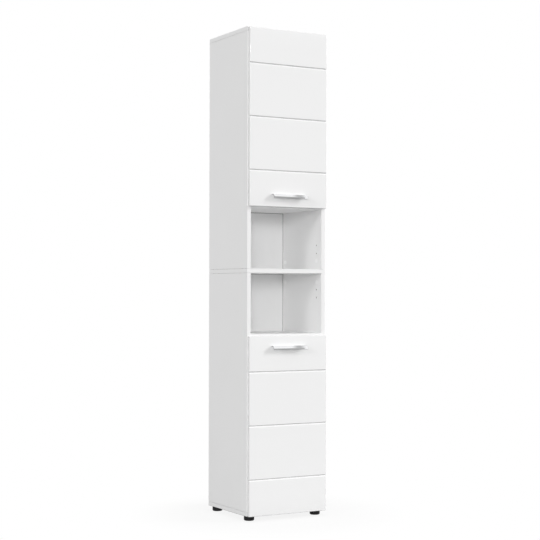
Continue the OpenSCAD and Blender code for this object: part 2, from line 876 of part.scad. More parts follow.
bottom_board();
middle_board();
top_board();
lower_left_side();
lower_right_side();
upper_left_side();
upper_right_side();
lower_fixed_shelf();
upper_fixed_shelf();
lower_back_panel();
upper_back_panel();
lower_shelf_1();
lower_shelf_2();
upper_shelf_1();
upper_shelf_2();
shelf_pins();
lower_door();
upper_door();
lower_handle();
upper_handle();
lower_handle_screws();
upper_handle_screws();
lower_door_bumpers();
upper_door_bumpers();
lower_hinge_cups();
upper_hinge_cups();
lower_cup_pins();
upper_cup_pins();
lower_cup_screws();
upper_cup_screws();
lower_hinge_links();
upper_hinge_links();
hinge_arms();
hinge_plates();
hinge_plate_screws();
hinge_arm_screws();
hinge_arm_pins();
cam_locks();
cam_bolts();
through_bolts();
dowels();
cam_caps();
feet();
foot_screws();
wall_bracket();
wall_bracket_screws();
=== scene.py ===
"""Dresses the bathroom storage tower.

White melamine boards, glossy doors with routed lines, chrome shell handles, concealed hinges, caps and feet.
All lengths are in metres, in the frame of the CAD: -Y is the front, +Z is up, and the floor is at z = 0.
"""

import logging
import math
from dataclasses import dataclass, field
from enum import Enum
from typing import Dict, List, Sequence, Tuple, Union

import bmesh
import bpy
import numpy as np
from mathutils import Matrix, Vector
from mathutils.geometry import tessellate_polygon


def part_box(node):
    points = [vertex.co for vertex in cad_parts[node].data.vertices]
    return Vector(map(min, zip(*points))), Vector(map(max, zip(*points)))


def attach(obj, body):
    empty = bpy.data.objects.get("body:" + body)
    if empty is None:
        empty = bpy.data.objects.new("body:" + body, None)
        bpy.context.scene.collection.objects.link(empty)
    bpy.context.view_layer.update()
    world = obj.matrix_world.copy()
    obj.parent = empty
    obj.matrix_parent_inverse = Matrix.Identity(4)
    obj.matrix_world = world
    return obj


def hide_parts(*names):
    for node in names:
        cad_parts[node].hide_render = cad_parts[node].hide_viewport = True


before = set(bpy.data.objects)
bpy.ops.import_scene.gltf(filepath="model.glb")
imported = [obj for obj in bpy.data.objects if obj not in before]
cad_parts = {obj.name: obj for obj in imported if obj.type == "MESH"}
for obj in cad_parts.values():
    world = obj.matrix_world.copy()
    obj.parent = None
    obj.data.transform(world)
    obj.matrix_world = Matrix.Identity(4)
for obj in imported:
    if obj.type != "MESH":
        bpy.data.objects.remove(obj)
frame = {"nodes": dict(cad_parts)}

log = logging.getLogger("tower")
MM = 0.001
WHITE = (1.0, 1.0, 1.0)

# Distances below which points merge, in made pieces and in copies of CAD nodes, and the shortest side of an
# outline. Then the angle below which a copy's faces merge, and the one above which its edges are softened.
WELD = 1e-6
CAD_WELD = 2e-6
NO_STEP = 1e-7
FLAT_ANGLE = math.radians(0.5)
EDGE_ANGLE = math.radians(40)

Number = Union[int, float, "Wire"]
Color = Tuple[float, float, float]
Triple = Tuple[float, float, float]
Point = Tuple[float, float]


# ---------------------------------------------------------------- cabinet sizes


@dataclass(frozen=True)
class Cabinet:
    """Sizes that several sub-assemblies share, as the construction has them.

    Attributes:
        front: Y of the boards' front edges.
        open_h: Height of an open compartment.
        back_at: From the front edges to the back panels' front faces.
        lower_door: Level of the lower door's lower edge, and upper_door that of the upper one.
        line_end: From a door's end to the middle of its outer routed line.
        pull_x: From the middle plane to a handle screw.
        cup_x: From the middle plane to the hinge cups' middles.
        hinge_near: From the middle board to the nearer hinge of a door.
        hinge_end: From the far end of a side board to the other hinge.
        cam_back: From a board's end to the middle of its cam.
        cam_edge: From a board's front or rear edge to the middle of its cam.
    """

    width: float = 350 * MM
    height: float = 1900 * MM
    depth: float = 320 * MM
    board: float = 16 * MM
    back_t: float = 3 * MM
    foot_h: float = 20 * MM
    foot_well: float = 10 * MM
    front: float = -141 * MM
    open_h: float = 236 * MM
    back_at: float = 302 * MM
    door_t: float = 15 * MM
    door_gap: float = 1 * MM
    door_h: float = 688 * MM
    door_half_w: float = 172 * MM
    lower_door: float = 20 * MM
    upper_door: float = 1208 * MM
    line_end: float = 138 * MM
    line_w: float = 8.5 * MM
    line_depth: float = 4.3 * MM
    pull_x: float = 64 * MM
    cup_x: float = 149.5 * MM
    hinge_near: float = 336 * MM
    hinge_end: float = 80 * MM
    cam_back: float = 34 * MM
    cam_edge: float = 37 * MM

    @property
    def inner_x(self) -> float:
        """Distance from the middle plane to a side board's inner face."""
        return self.width / 2 - self.board

    @property
    def middle_z(self) -> Tuple[float, float]:
        """Lower and upper face of the middle board."""
        mid = (self.foot_h + self.height) / 2
        return mid - self.board / 2, mid + self.board / 2

    @property
    def door_face(self) -> float:
        """Y of the doors' front faces."""
        return self.front - self.door_gap - self.door_t

    @property
    def door_rear(self) -> float:
        """Y of the doors' rear faces."""
        return self.front - self.door_gap

    def marks(self, low: float) -> List[float]:
        """Levels of the three routed lines on a door whose lower edge is at a level."""
        half = (self.door_h - 2 * self.line_end) / 2
        return [low + self.line_end + i * half for i in range(3)]

    def hinges(self, upper: bool) -> Tuple[float, float]:
        """Levels of a door's two hinges.

        Args:
            upper: True for the upper door.

        Returns:
            Heights above the floor.
        """
        low, high = self.middle_z
        side_h = self.height - self.board - high
        far = side_h - self.hinge_end
        if upper:
            return high + self.hinge_near, high + far
        return low - self.hinge_near, low - far


CABINET = Cabinet()


class Level(Enum):
    """Which of the two cupboards a piece belongs to."""

    LOWER = "lower"
    UPPER = "upper"


# ---------------------------------------------------------------- shader maths


class Wire:
    """A node socket that arithmetic works on; each operation adds a Math node."""

    def __init__(self, sheet: "Sheet", socket: bpy.types.NodeSocket) -> None:
        """Keeps the sheet and the socket."""
        self.sheet = sheet
        self.socket = socket

    def _math(self, operation: str, first: Number, second: Number) -> "Wire":
        """Adds a Math node.

        Args:
            operation: The node's operation.
            first: Its first value.
            second: Its second value.

        Returns:
            The node's result.
        """
        return self.sheet.node("ShaderNodeMath", {"operation": operation}, {0: first, 1: second})

    def __add__(self, other: Number) -> "Wire":
        """Sum."""
        return self._math("ADD", self, other)

    def __radd__(self, other: Number) -> "Wire":
        """Sum with the number first."""
        return self._math("ADD", other, self)

    def __sub__(self, other: Number) -> "Wire":
        """Difference."""
        return self._math("SUBTRACT", self, other)

    def __rsub__(self, other: Number) -> "Wire":
        """Difference with the number first."""
        return self._math("SUBTRACT", other, self)

    def __mul__(self, other: Number) -> "Wire":
        """Product."""
        return self._math("MULTIPLY", self, other)

    def __rmul__(self, other: Number) -> "Wire":
        """Product with the number first."""
        return self._math("MULTIPLY", other, self)

    def __abs__(self) -> "Wire":
        """Absolute value."""
        return self._math("ABSOLUTE", self, 0.0)

    def most(self, other: Number) -> "Wire":
        """The larger of two values."""
        return self._math("MAXIMUM", self, other)

    def ramp(self, low: float, high: float) -> "Wire":
        """Smooth step.

        Args:
            low: Where the result is 0.
            high: Where the result is 1.

        Returns:
            A value that rises smoothly from 0 to 1.
        """
        settings = {"interpolation_type": "SMOOTHSTEP", "clamp": True}
        inputs = {"Value": self, "From Min": low, "From Max": high}
        return self.sheet.node("ShaderNodeMapRange", settings, inputs)


class Sheet:
    """A material's or world's node tree."""

    def __init__(self, tree: bpy.types.NodeTree) -> None:
        """Empties the tree and keeps it."""
        tree.nodes.clear()
        self.tree = tree

    def node(self, kind: str, settings: Dict[str, object], inputs: Dict[object, object],
             output: Union[int, str] = 0) -> Wire:
        """Adds a node of any type.

        Args:
            kind: The node's type.
            settings: Attributes, which are set before the sockets.
            inputs: Socket name or number to a number, colour or wire.
            output: Which output to return.

        Returns:
            A wire on that output.
        """
        made = self.tree.nodes.new(kind)
        for name, value in settings.items():
            setattr(made, name, value)
        for key, value in inputs.items():
            socket = made.inputs[key]
            if isinstance(value, Wire):
                self.tree.links.new(value.socket, socket)
            else:
                socket.default_value = value
        return Wire(self, made.outputs[output])

    def place(self) -> Wire:
        """Object coordinates, in metres."""
        return self.node("ShaderNodeTexCoord", {}, {}, "Object")

    def axes(self) -> Tuple[Wire, Wire, Wire]:
        """The three Object coordinates, apart."""
        split = [self.node("ShaderNodeSeparateXYZ", {}, {0: self.place()}, i) for i in range(3)]
        return split[0], split[1], split[2]

    def low_shade_edge(self) -> Wire:
        """1 on the lowest millimetre above the feet, where a painted shade line darkens the bottom edges, and
        0 above it.
        """
        return 1 - self.axes()[2].ramp(CABINET.foot_h + 0.7 * MM, CABINET.foot_h + 1.5 * MM)

    def noise(self, size: float, detail: float, stretch: Triple = (1, 1, 1)) -> Wire:
        """Noise whose features measure about the given length.

        Args:
            size: Length of a feature.
            detail: Octaves.
            stretch: Factor on the coordinates along each axis.

        Returns:
            A value near 0.5, between 0 and 1.
        """
        spot = self.node("ShaderNodeMapping", {}, {"Vector": self.place(), "Scale": stretch})
        inputs = {"Vector": spot, "Scale": 1 / size, "Detail": detail}
        return self.node("ShaderNodeTexNoise", {}, inputs, "Fac")

    def drift(self, size: float, detail: float, reach: float, middle: float = 1.0) -> Wire:
        """A value that wanders about a middle: middle + reach (noise - 0.5)."""
        return self.noise(size, detail) * reach + (middle - reach / 2)

    def tint(self, color: Color, factor: Wire) -> Wire:
        """A colour times a factor that changes over the surface."""
        return self.node("ShaderNodeCombineColor", {}, {i: factor * color[i] for i in range(3)})

    def mix(self, share: Number, first: object, second: object) -> Wire:
        """Colour mix: the first colour where the share is 0 and the second where it is 1."""
        settings = {"data_type": "RGBA", "clamp_factor": True}
        return self.node("ShaderNodeMix", settings, {0: share, 6: first, 7: second}, 2)

    def bump(self, height: Wire, distance: float) -> Wire:
        """A bumped normal from a height of 0 to 1."""
        inputs = {"Height": height, "Distance": distance, "Strength": 1.0}
        return self.node("ShaderNodeBump", {}, inputs, "Normal")

    def finish(self, kind: str, shader: Wire) -> None:
        """Joins the last shader to an output node of a type."""
        target = self.tree.nodes.new(kind)
        self.tree.links.new(shader.socket, target.inputs["Surface"])


def rgba(color: Color, factor: float = 1.0) -> Tuple[float, float, float, float]:
    """A colour with its alpha, scaled by a factor."""
    return (color[0] * factor, color[1] * factor, color[2] * factor, 1.0)


# ---------------------------------------------------------------- finishes


@dataclass(frozen=True)
class Finish:
    """A finish: a name, a slot of the record and a way to build the material."""

    name: str
    slot: str
    color: Color
    roughness: float

    def surface(self, sheet: Sheet) -> Dict[str, object]:
        """Inputs of the Principled shader that are not plain constants."""
        return {}

    def constants(self) -> Dict[str, object]:
        """Inputs of the Principled shader that stay the same all over."""
        return {}

    def material(self) -> bpy.types.Material:
        """Builds the material, or finds the one built before.

        Returns:
            The material.
        """
        known = bpy.data.materials.get(self.name)
        if known is not None:
            return known
        made = bpy.data.materials.new(self.name)
        made.use_nodes = True
        sheet = Sheet(made.node_tree)
        inputs: Dict[object, object] = {"Base Color": rgba(self.color), "Roughness": self.roughness}
        inputs.update(self.constants())
        inputs.update(self.surface(sheet))
        sheet.finish("ShaderNodeOutputMaterial", sheet.node("ShaderNodeBsdfPrincipled", {}, inputs))
        made.diffuse_color = rgba(self.color)
        return made


@dataclass(frozen=True)
class Melamine(Finish):
    """Satin melamine on chipboard: a fine pearl grain, and a thin seam where the edge band meets the face."""

    grain: float = 0.9 * MM
    band: float = 0.8 * MM
    drilled: bool = False
    chip: Color = (0.20, 0.14, 0.085)
    chip_size: float = 1.6 * MM
    # painted shade: how far the core in the drilled holes goes towards black
    hole_shade: float = 0.9
    seam_dark: float = 0.35
    seam_deep: float = 0.5
    # painted shade: how dark the lowest millimetre above the feet turns
    dust_and_low_shade: float = 0.75

    def cut(self, sheet: Sheet) -> Wire:
        """Where a side board's core shows: behind the front band and between the faces, as in drilled holes.

        Args:
            sheet: The material's nodes.

        Returns:
            1 where the core shows and 0 elsewhere.
        """
        across, depth, _ = sheet.axes()
        inner = abs(across).ramp(CABINET.inner_x + 0.05 * MM, CABINET.inner_x + 0.2 * MM)
        outer = 1 - abs(across).ramp(CABINET.width / 2 - 0.45 * MM, CABINET.width / 2 - 0.25 * MM)
        return inner * outer * depth.ramp(CABINET.front + 0.7 * MM, CABINET.front + 0.9 * MM)

    def core(self, sheet: Sheet) -> Wire:
        """Flecked chipboard, painted nearly black as shade in the drilled holes, which all lie in front of
        the back panel.

        Args:
            sheet: The material's nodes.

        Returns:
            The core's colour.
        """
        groove = CABINET.front + CABINET.back_at
        hole = 1 - sheet.axes()[1].ramp(groove - 6 * MM, groove - 4 * MM)
        chips = sheet.noise(self.chip_size, 4.0).ramp(0.35, 0.7)
        flecked = sheet.mix(chips, rgba(self.chip, 0.6), rgba(self.chip, 1.3))
        # painted shade: the core inside the holes is mixed towards black
        return sheet.mix(hole * self.hole_shade, flecked, rgba(self.chip, 0.02))

    def rim(self, sheet: Sheet) -> Wire:
        """The outer rim of a side board's front band, beside a door, where painted light lifts the band to
        white.

        Args:
            sheet: The material's nodes.

        Returns:
            1 on the rim and 0 elsewhere.
        """
        across, depth, height = sheet.axes()
        band = 1 - depth.ramp(CABINET.front + 0.2 * MM, CABINET.front + 0.4 * MM)
        outer = abs(across).ramp(CABINET.door_half_w - 1 * MM, CABINET.door_half_w)
        lower_top, upper_low = CABINET.lower_door + CABINET.door_h, CABINET.upper_door
        below = 1 - height.ramp(lower_top, lower_top + 2 * MM)
        return band * outer * below.most(height.ramp(upper_low, upper_low + 2 * MM))

    def surface(self, sheet: Sheet) -> Dict[str, object]:
        """Slow tone drift, the band's seam, painted light on the rim, painted shade in the holes and along
        the lowest millimetre, uneven gloss and the grain's bump.

        Args:
            sheet: The material's nodes.

        Returns:
            Inputs of the Principled shader, by name.
        """
        _, depth, _ = sheet.axes()
        seam = 1 - abs(depth - (CABINET.front + self.band)).ramp(0.05 * MM, 0.16 * MM)
        tone = sheet.tint(self.color, sheet.drift(0.22, 3.0, 0.03))
        faced = sheet.mix(seam * self.seam_dark, tone, rgba(self.color, 0.55))
        if self.drilled:
            # painted light: the front band's outer rim beside a door is mixed to white
            faced = sheet.mix(self.rim(sheet), faced, rgba(WHITE))
            faced = sheet.mix(self.cut(sheet), faced, self.core(sheet))
        # painted shade: the lowest millimetre above the feet darkens
        faced = sheet.mix(sheet.low_shade_edge() * self.dust_and_low_shade, faced, rgba(self.color, 0.2))
        relief = sheet.noise(self.grain, 3.0) - seam * self.seam_deep
        gloss = sheet.drift(50 * MM, 4.0, 0.08, self.roughness)
        return {"Base Color": faced, "Roughness": gloss, "Normal": sheet.bump(relief, 0.02 * MM)}


@dataclass(frozen=True)
class GlossFoil(Finish):
    """Glossy foil pressed over fibreboard: clear coat over white, faintly wavy, with painted shade and
    painted light in the routed lines.
    """

    wave: float = 9 * MM
    coat: float = 0.25
    # painted shade: how dark the lowest millimetre above the feet turns
    dust_and_low_shade: float = 0.6
    # painted shade on the upper flanks and painted light on the lower flanks
    upper_flank_shade: float = 0.68
    lower_flank_light: float = 1.12

    def flank(self, sheet: Sheet, way: int) -> Wire:
        """One side of every routed line: the upper flanks take painted shade and the lower ones painted
        light.

        Args:
            sheet: The material's nodes.
            way: 1 for the flanks above the lines' middles, -1 for those below.

        Returns:
            1 on the flanks and 0 elsewhere.
        """
        _, depth, height = sheet.axes()
        found: Number = 0.0
        for mark in CABINET.marks(CABINET.lower_door) + CABINET.marks(CABINET.upper_door):
            away = (height - mark) * way
            far = away.ramp(0.4 * CABINET.line_w, 0.5 * CABINET.line_w)
            found = (away.ramp(-0.2 * MM, 0.2 * MM) * (1 - far)).most(found)
        bottom = CABINET.door_face + CABINET.line_depth
        return found * (1 - depth.ramp(bottom, bottom + 0.5 * MM))

    def constants(self) -> Dict[str, object]:
        """Gloss of the clear coat."""
        return {"Coat Roughness": 0.06}

    def surface(self, sheet: Sheet) -> Dict[str, object]:
        """Slow tone drift, smudges in the gloss, painted shade on the upper and painted light on the lower
        flank of each line, painted shade along the lowest millimetre, and a matt back.

        Args:
            sheet: The material's nodes.

        Returns:
            Inputs of the Principled shader, by name.
        """
        _, depth, _ = sheet.axes()
        behind = depth.ramp(CABINET.door_rear - 0.4 * MM, CABINET.door_rear - 0.1 * MM)
        tone = sheet.tint(self.color, sheet.drift(0.3, 2.0, 0.02))
        smudge = sheet.noise(0.06, 4.0).ramp(0.45, 0.8)
        gloss = smudge * 0.05 + self.roughness + behind * 0.3
        height = sheet.noise(self.wave, 2.0) + sheet.noise(0.7 * MM, 2.0) * 0.06
        # painted shade on the upper flanks, painted light on the lower flanks
        for way, share in ((1, self.upper_flank_shade), (-1, self.lower_flank_light)):
            tone = sheet.mix(self.flank(sheet, way), tone, rgba(self.color, share))
        # painted shade: the lowest millimetre above the feet darkens
        tone = sheet.mix(sheet.low_shade_edge() * self.dust_and_low_shade, tone, rgba(self.color, 0.2))
        return {"Base Color": sheet.mix(behind, tone, rgba(self.color, 0.97)), "Roughness": gloss,
                "Coat Weight": (1 - behind) * self.coat, "Normal": sheet.bump(height, 0.03 * MM)}


@dataclass(frozen=True)
class BackBoard(Finish):
    """Thin fibreboard, painted white inside with painted shade along its inner corners, and left bare behind.
    """

    bare: Color = (0.30, 0.185, 0.10)
    corner_w: float = 3.5 * MM
    corner_shade_depth: float = 0.7
    floor_share: float = 0.3

    def corner(self, sheet: Sheet) -> Wire:
        """The painted shade line where the panel meets a board: 1 at the board and 0 away from it.

        The line is fainter on the lowest board, which catches the light.

        Args:
            sheet: The material's nodes.

        Returns:
            The line's strength.
        """
        across, _, height = sheet.axes()
        near = abs(across).ramp(CABINET.inner_x - self.corner_w, CABINET.inner_x)
        low, high = CABINET.middle_z
        half = CABINET.board / 2
        reach = CABINET.open_h + half
        for level, share in ((low - reach, self.floor_share), (low + half, 1.0), (high + reach, 1.0)):
            gap = abs(height - level)
            near = near.most((1 - gap.ramp(half, half + self.corner_w)) * share)
        return near

    def surface(self, sheet: Sheet) -> Dict[str, object]:
        """White paint to the front of the panel's middle, with painted shade towards the boards, and pressed
        brown fibres behind it.

        Args:
            sheet: The material's nodes.

        Returns:
            Inputs of the Principled shader, by name.
        """
        _, depth, _ = sheet.axes()
        middle = CABINET.front + CABINET.back_at + CABINET.back_t / 2
        behind = depth.ramp(middle - 0.2 * MM, middle + 0.2 * MM)
        fleck = sheet.noise(2.5 * MM, 5.0, (1, 1, 0.55))
        fibre = sheet.mix(fleck.ramp(0.3, 0.75), rgba(self.bare, 0.75), rgba(self.bare, 1.35))
        # painted shade: the white darkens towards the boards, where the corners fall into shade
        paint = sheet.drift(0.2, 3.0, 0.03) * (1 - self.corner(sheet) * self.corner_shade_depth)
        white = sheet.tint(self.color, paint)
        rough = behind * 0.25 + self.roughness
        return {"Base Color": sheet.mix(behind, white, fibre), "Roughness": rough,
                "Normal": sheet.bump(sheet.noise(0.8 * MM, 4.0), 0.04 * MM)}


@dataclass(frozen=True)
class Plated(Finish):
    """Plated metal: bright or dull, with fine polishing lines and a slight cloudiness."""

    grain: float = 0.5 * MM
    cloud: float = 0.06
    relief: float = 0.004 * MM

    def constants(self) -> Dict[str, object]:
        """Metal all over."""
        return {"Metallic": 1.0}

    def surface(self, sheet: Sheet) -> Dict[str, object]:
        """Cloudy gloss, a little tone change, and polishing lines along X.

        Args:
            sheet: The material's nodes.

        Returns:
            Inputs of the Principled shader, by name.
        """
        cloud = sheet.noise(6 * MM, 4.0)
        line = sheet.noise(self.grain, 2.0, (0.08, 1, 1))
        tone = sheet.mix(cloud.ramp(0.3, 0.7), rgba(self.color, 0.965), rgba(self.color))
        gloss = cloud * self.cloud + line * self.cloud * 0.5 + (self.roughness - self.cloud * 0.6)
        return {"Base Color": tone, "Roughness": gloss, "Normal": sheet.bump(line, self.relief)}


@dataclass(frozen=True)
class Chrome(Plated):
    """Bright chrome: rougher on its sawn ends and upright lip, with painted shade on them, and a painted dark
    reflection right of the slope's middle.
    """

    end_x: float = 75.4 * MM
    # painted shade on the two ends
    end_shade: float = 0.36
    lip_out: float = 19.8 * MM
    # painted shade on the lip, which stops at lip_end
    lip_shade: float = 0.42
    lip_end: float = 56 * MM
    lip_fade: float = 5 * MM
    satin: float = 0.25
    # a painted dark reflection on the slope, centred at shade_x
    shade_out: float = 9 * MM
    shade_x: float = 38 * MM
    shade_reach: float = 36 * MM
    shade_tone: float = 0.55

    def surface(self, sheet: Sheet) -> Dict[str, object]:
        """Plating, a painted dark reflection on the slope, and painted shade with a satin gloss on the two
        ends and on the lip.

        Args:
            sheet: The material's nodes.

        Returns:
            Inputs of the Principled shader, by name.
        """
        found = super().surface(sheet)
        across, depth, _ = sheet.axes()
        end = abs(across).ramp(self.end_x, self.end_x + 0.3 * MM)
        out = CABINET.door_face - depth
        kept = 1 - across.ramp(self.lip_end, self.lip_end + self.lip_fade)
        lip = out.ramp(self.lip_out, self.lip_out + 1.0 * MM) * kept
        # painted reflection: a dark cloud on the slope, right of its middle
        shade = 1 - abs(across - self.shade_x).ramp(0.1 * self.shade_reach, self.shade_reach)
        shade = shade * out.ramp(self.shade_out, self.shade_out + 3 * MM)
        # painted reflection on the slope, painted shade on the lip and the ends
        for share, tone in ((shade, self.shade_tone), (lip, self.lip_shade), (end, self.end_shade)):
            found["Base Color"] = sheet.mix(share, found["Base Color"], rgba(self.color, tone))
        found["Roughness"] = found["Roughness"] + end.most(lip) * self.satin
        return found


@dataclass(frozen=True)
class Moulded(Finish):
    """Moulded plastic or rubber with a spark-eroded grain."""

    grain: float = 0.45 * MM
    relief: float = 0.05 * MM
    scuff: float = 0.0
    dust_h: float = 7 * MM
    dust_lift: float = 0.08
    shine: float = 0.5

    def constants(self) -> Dict[str, object]:
        """How much the plastic mirrors."""
        return {"Specular IOR Level": self.shine}

    def surface(self, sheet: Sheet) -> Dict[str, object]:
        """Grain bump, uneven gloss, and lighter dusty specks near the floor where scuff is above 0.

        Args:
            sheet: The material's nodes.

        Returns:
            Inputs of the Principled shader, by name.
        """
        _, _, height = sheet.axes()
        grain = sheet.noise(self.grain, 3.0)
        specks = sheet.noise(3 * MM, 4.0).ramp(0.4, 0.8)
        dust_and_low_shade = (1 - height.ramp(0.0, self.dust_h)) * specks * self.scuff
        lighter = tuple(min(1.0, share + self.dust_lift) for share in self.color)
        gloss = sheet.drift(8 * MM, 3.0, 0.12, self.roughness)
        return {"Base Color": sheet.mix(dust_and_low_shade, rgba(self.color), rgba(lighter)), "Roughness": gloss,
                "Normal": sheet.bump(grain, self.relief)}


@dataclass(frozen=True)
class BareWood(Finish):
    """Turned beech with short dark flecks along the grain."""

    def surface(self, sheet: Sheet) -> Dict[str, object]:
        """Long grain along Z and small flecks across it.

        Args:
            sheet: The material's nodes.

        Returns:
            Inputs of the Principled shader, by name.
        """
        grain = sheet.noise(1.2 * MM, 4.0, (1, 1, 0.12))
        fleck = sheet.noise(0.6 * MM, 2.0, (1, 1, 0.3)).ramp(0.6, 0.72)
        tone = sheet.mix(grain, rgba(self.color, 0.8), rgba(self.color, 1.12))
        return {"Base Color": sheet.mix(fleck * 0.5, tone, rgba(self.color, 0.5)),
                "Normal": sheet.bump(grain, 0.05 * MM)}


BOARD = Melamine("white_melamine", "white_board", (0.88, 0.88, 0.88), 0.42)
SIDE = Melamine("white_melamine_drilled", "white_board", (0.88, 0.88, 0.88), 0.42, drilled=True)
FRONT = GlossFoil("white_gloss_foil", "white_front", (0.89, 0.89, 0.89), 0.16)
PANEL = BackBoard("thin_back_board", "back_panel", (0.865, 0.865, 0.865), 0.5)
CHROME = Chrome("bright_chrome", "handle_chrome", (0.90, 0.905, 0.915), 0.09, cloud=0.04,
                relief=0.002 * MM)
NICKEL = Plated("nickel_plate", "nickel_plate", (0.66, 0.645, 0.615), 0.22)
ZINC = Plated("zinc_plate", "zinc_plate", (0.58, 0.59, 0.61), 0.34, cloud=0.12)
CAST = Plated("cast_zinc", "cast_zinc", (0.47, 0.475, 0.485), 0.5, cloud=0.12, relief=0.03 * MM)
BEECH = BareWood("bare_beech", "beech", (0.70, 0.50, 0.30), 0.6)
CAP = Moulded("white_cap_plastic", "white_plastic", (0.95, 0.95, 0.95), 0.45)
FOOT = Moulded("black_foot_plastic", "black_plastic", (0.007, 0.007, 0.008), 0.55, relief=0.08 * MM,
               scuff=0.25, shine=0.2)
PAD = Moulded("clear_rubber_pad", "clear_rubber", (0.72, 0.73, 0.72), 0.3, relief=0.01 * MM)


# ---------------------------------------------------------------- surfaces


class Skin:
    """Collects grids and flat caps of points and makes one closed mesh of them."""

    def __init__(self) -> None:
        """Starts empty."""
        self.points: List[np.ndarray] = []
        self.faces: List[np.ndarray] = []
        self.count = 0

    def grid(self, points: np.ndarray, wrap: bool = False, flip: bool = False) -> None:
        """Adds a surface given on a grid of two parameters.

        Args:
            points: Array of rows x columns x 3.
            wrap: Whether the last column joins the first.
            flip: Whether to turn the faces over.
        """
        rows, cols = points.shape[:2]
        number = np.arange(rows * cols).reshape(rows, cols) + self.count
        if wrap:
            number = np.concatenate([number, number[:, :1]], axis=1)
        a, b = number[:-1, :-1], number[:-1, 1:]
        c, d = number[1:, 1:], number[1:, :-1]
        quads = np.stack([a, b, c, d], axis=-1).reshape(-1, 4)
        self._add(points.reshape(-1, 3), quads[:, ::-1] if flip else quads)

    def flat(self, loops: Sequence[np.ndarray], normal: Vector) -> None:
        """Adds a flat face with holes.

        Args:
            loops: The outline and then the holes, each an array of points in order.
            normal: Which way the face looks.
        """
        points = np.concatenate(loops)
        found = tessellate_polygon([[Vector(p) for p in loop] for loop in loops])
        faces = np.array(found, int)
        corner = points[faces]
        ways = np.cross(corner[:, 1] - corner[:, 0], corner[:, 2] - corner[:, 0])
        turned = (ways @ np.array(normal)) < 0
        faces[turned] = faces[turned][:, ::-1]
        self._add(points, faces + self.count)

    def _add(self, points: np.ndarray, faces: np.ndarray) -> None:
        """Stores points and faces.

        Args:
            points: Array of points x 3.
            faces: Array of faces x corners, numbered over all points so far.
        """
        self.points.append(points)
        self.faces.append(faces)
        self.count += len(points)

    def mesh(self, name: str, crease: float = 35.0) -> bpy.types.Mesh:
        """Builds the mesh, with doubles merged and smooth shading below a crease angle.

        Args:
            name: The mesh's name.
            crease: Angle in degrees above which an edge stays sharp.

        Returns:
            The mesh.
        """
        made = bpy.data.meshes.new(name)
        faces = [face.tolist() for part in self.faces for face in part]
        made.from_pydata(np.concatenate(self.points).tolist(), [], faces)
        work = bmesh.new()
        work.from_mesh(made)
        bmesh.ops.remove_doubles(work, verts=work.verts, dist=WELD)
        bmesh.ops.recalc_face_normals(work, faces=work.faces)
        work.to_mesh(made)
        work.free()
        made.validate()
        made.shade_smooth()
        made.set_sharp_from_angle(angle=math.radians(crease))
        return made


def ring(radius: float, height: float, count: int = 48) -> np.ndarray:
    """Points of a circle about +Z: radius times (cos, sin) of even turns, at one height."""
    turn = np.linspace(0, 2 * math.pi, count, endpoint=False)
    return np.stack([radius * np.cos(turn), radius * np.sin(turn), np.full(count, height)], axis=-1)


def lathe(profile: Sequence[Point], count: int = 48) -> np.ndarray:
    """A profile of (radius, height) turned about +Z: each row of the grid is one profile point's ring."""
    return np.stack([ring(r, h, count) for r, h in profile])


def placed(points: np.ndarray, place: Matrix) -> np.ndarray:
    """Points moved and turned by a matrix: p' = R p + t."""
    turn = np.array(place.to_3x3())
    return points @ turn.T + np.array(place.translation)


def facing(where: Triple, way: Triple) -> Matrix:
    """A place whose +Z looks a given way.

    Args:
        where: Its origin.
        way: The direction of its +Z.

    Returns:
        The matrix.
    """
    return Matrix.Translation(where) @ Vector(way).to_track_quat("Z", "Y").to_matrix().to_4x4()


def linked(name: str, data: bpy.types.ID) -> bpy.types.Object:
    """Puts a new object into the scene.

    Args:
        name: The object's name.
        data: Its mesh, lamp or camera.

    Returns:
        The object, at the origin.
    """
    made = bpy.data.objects.new(name, data)
    bpy.context.scene.collection.objects.link(made)
    return made


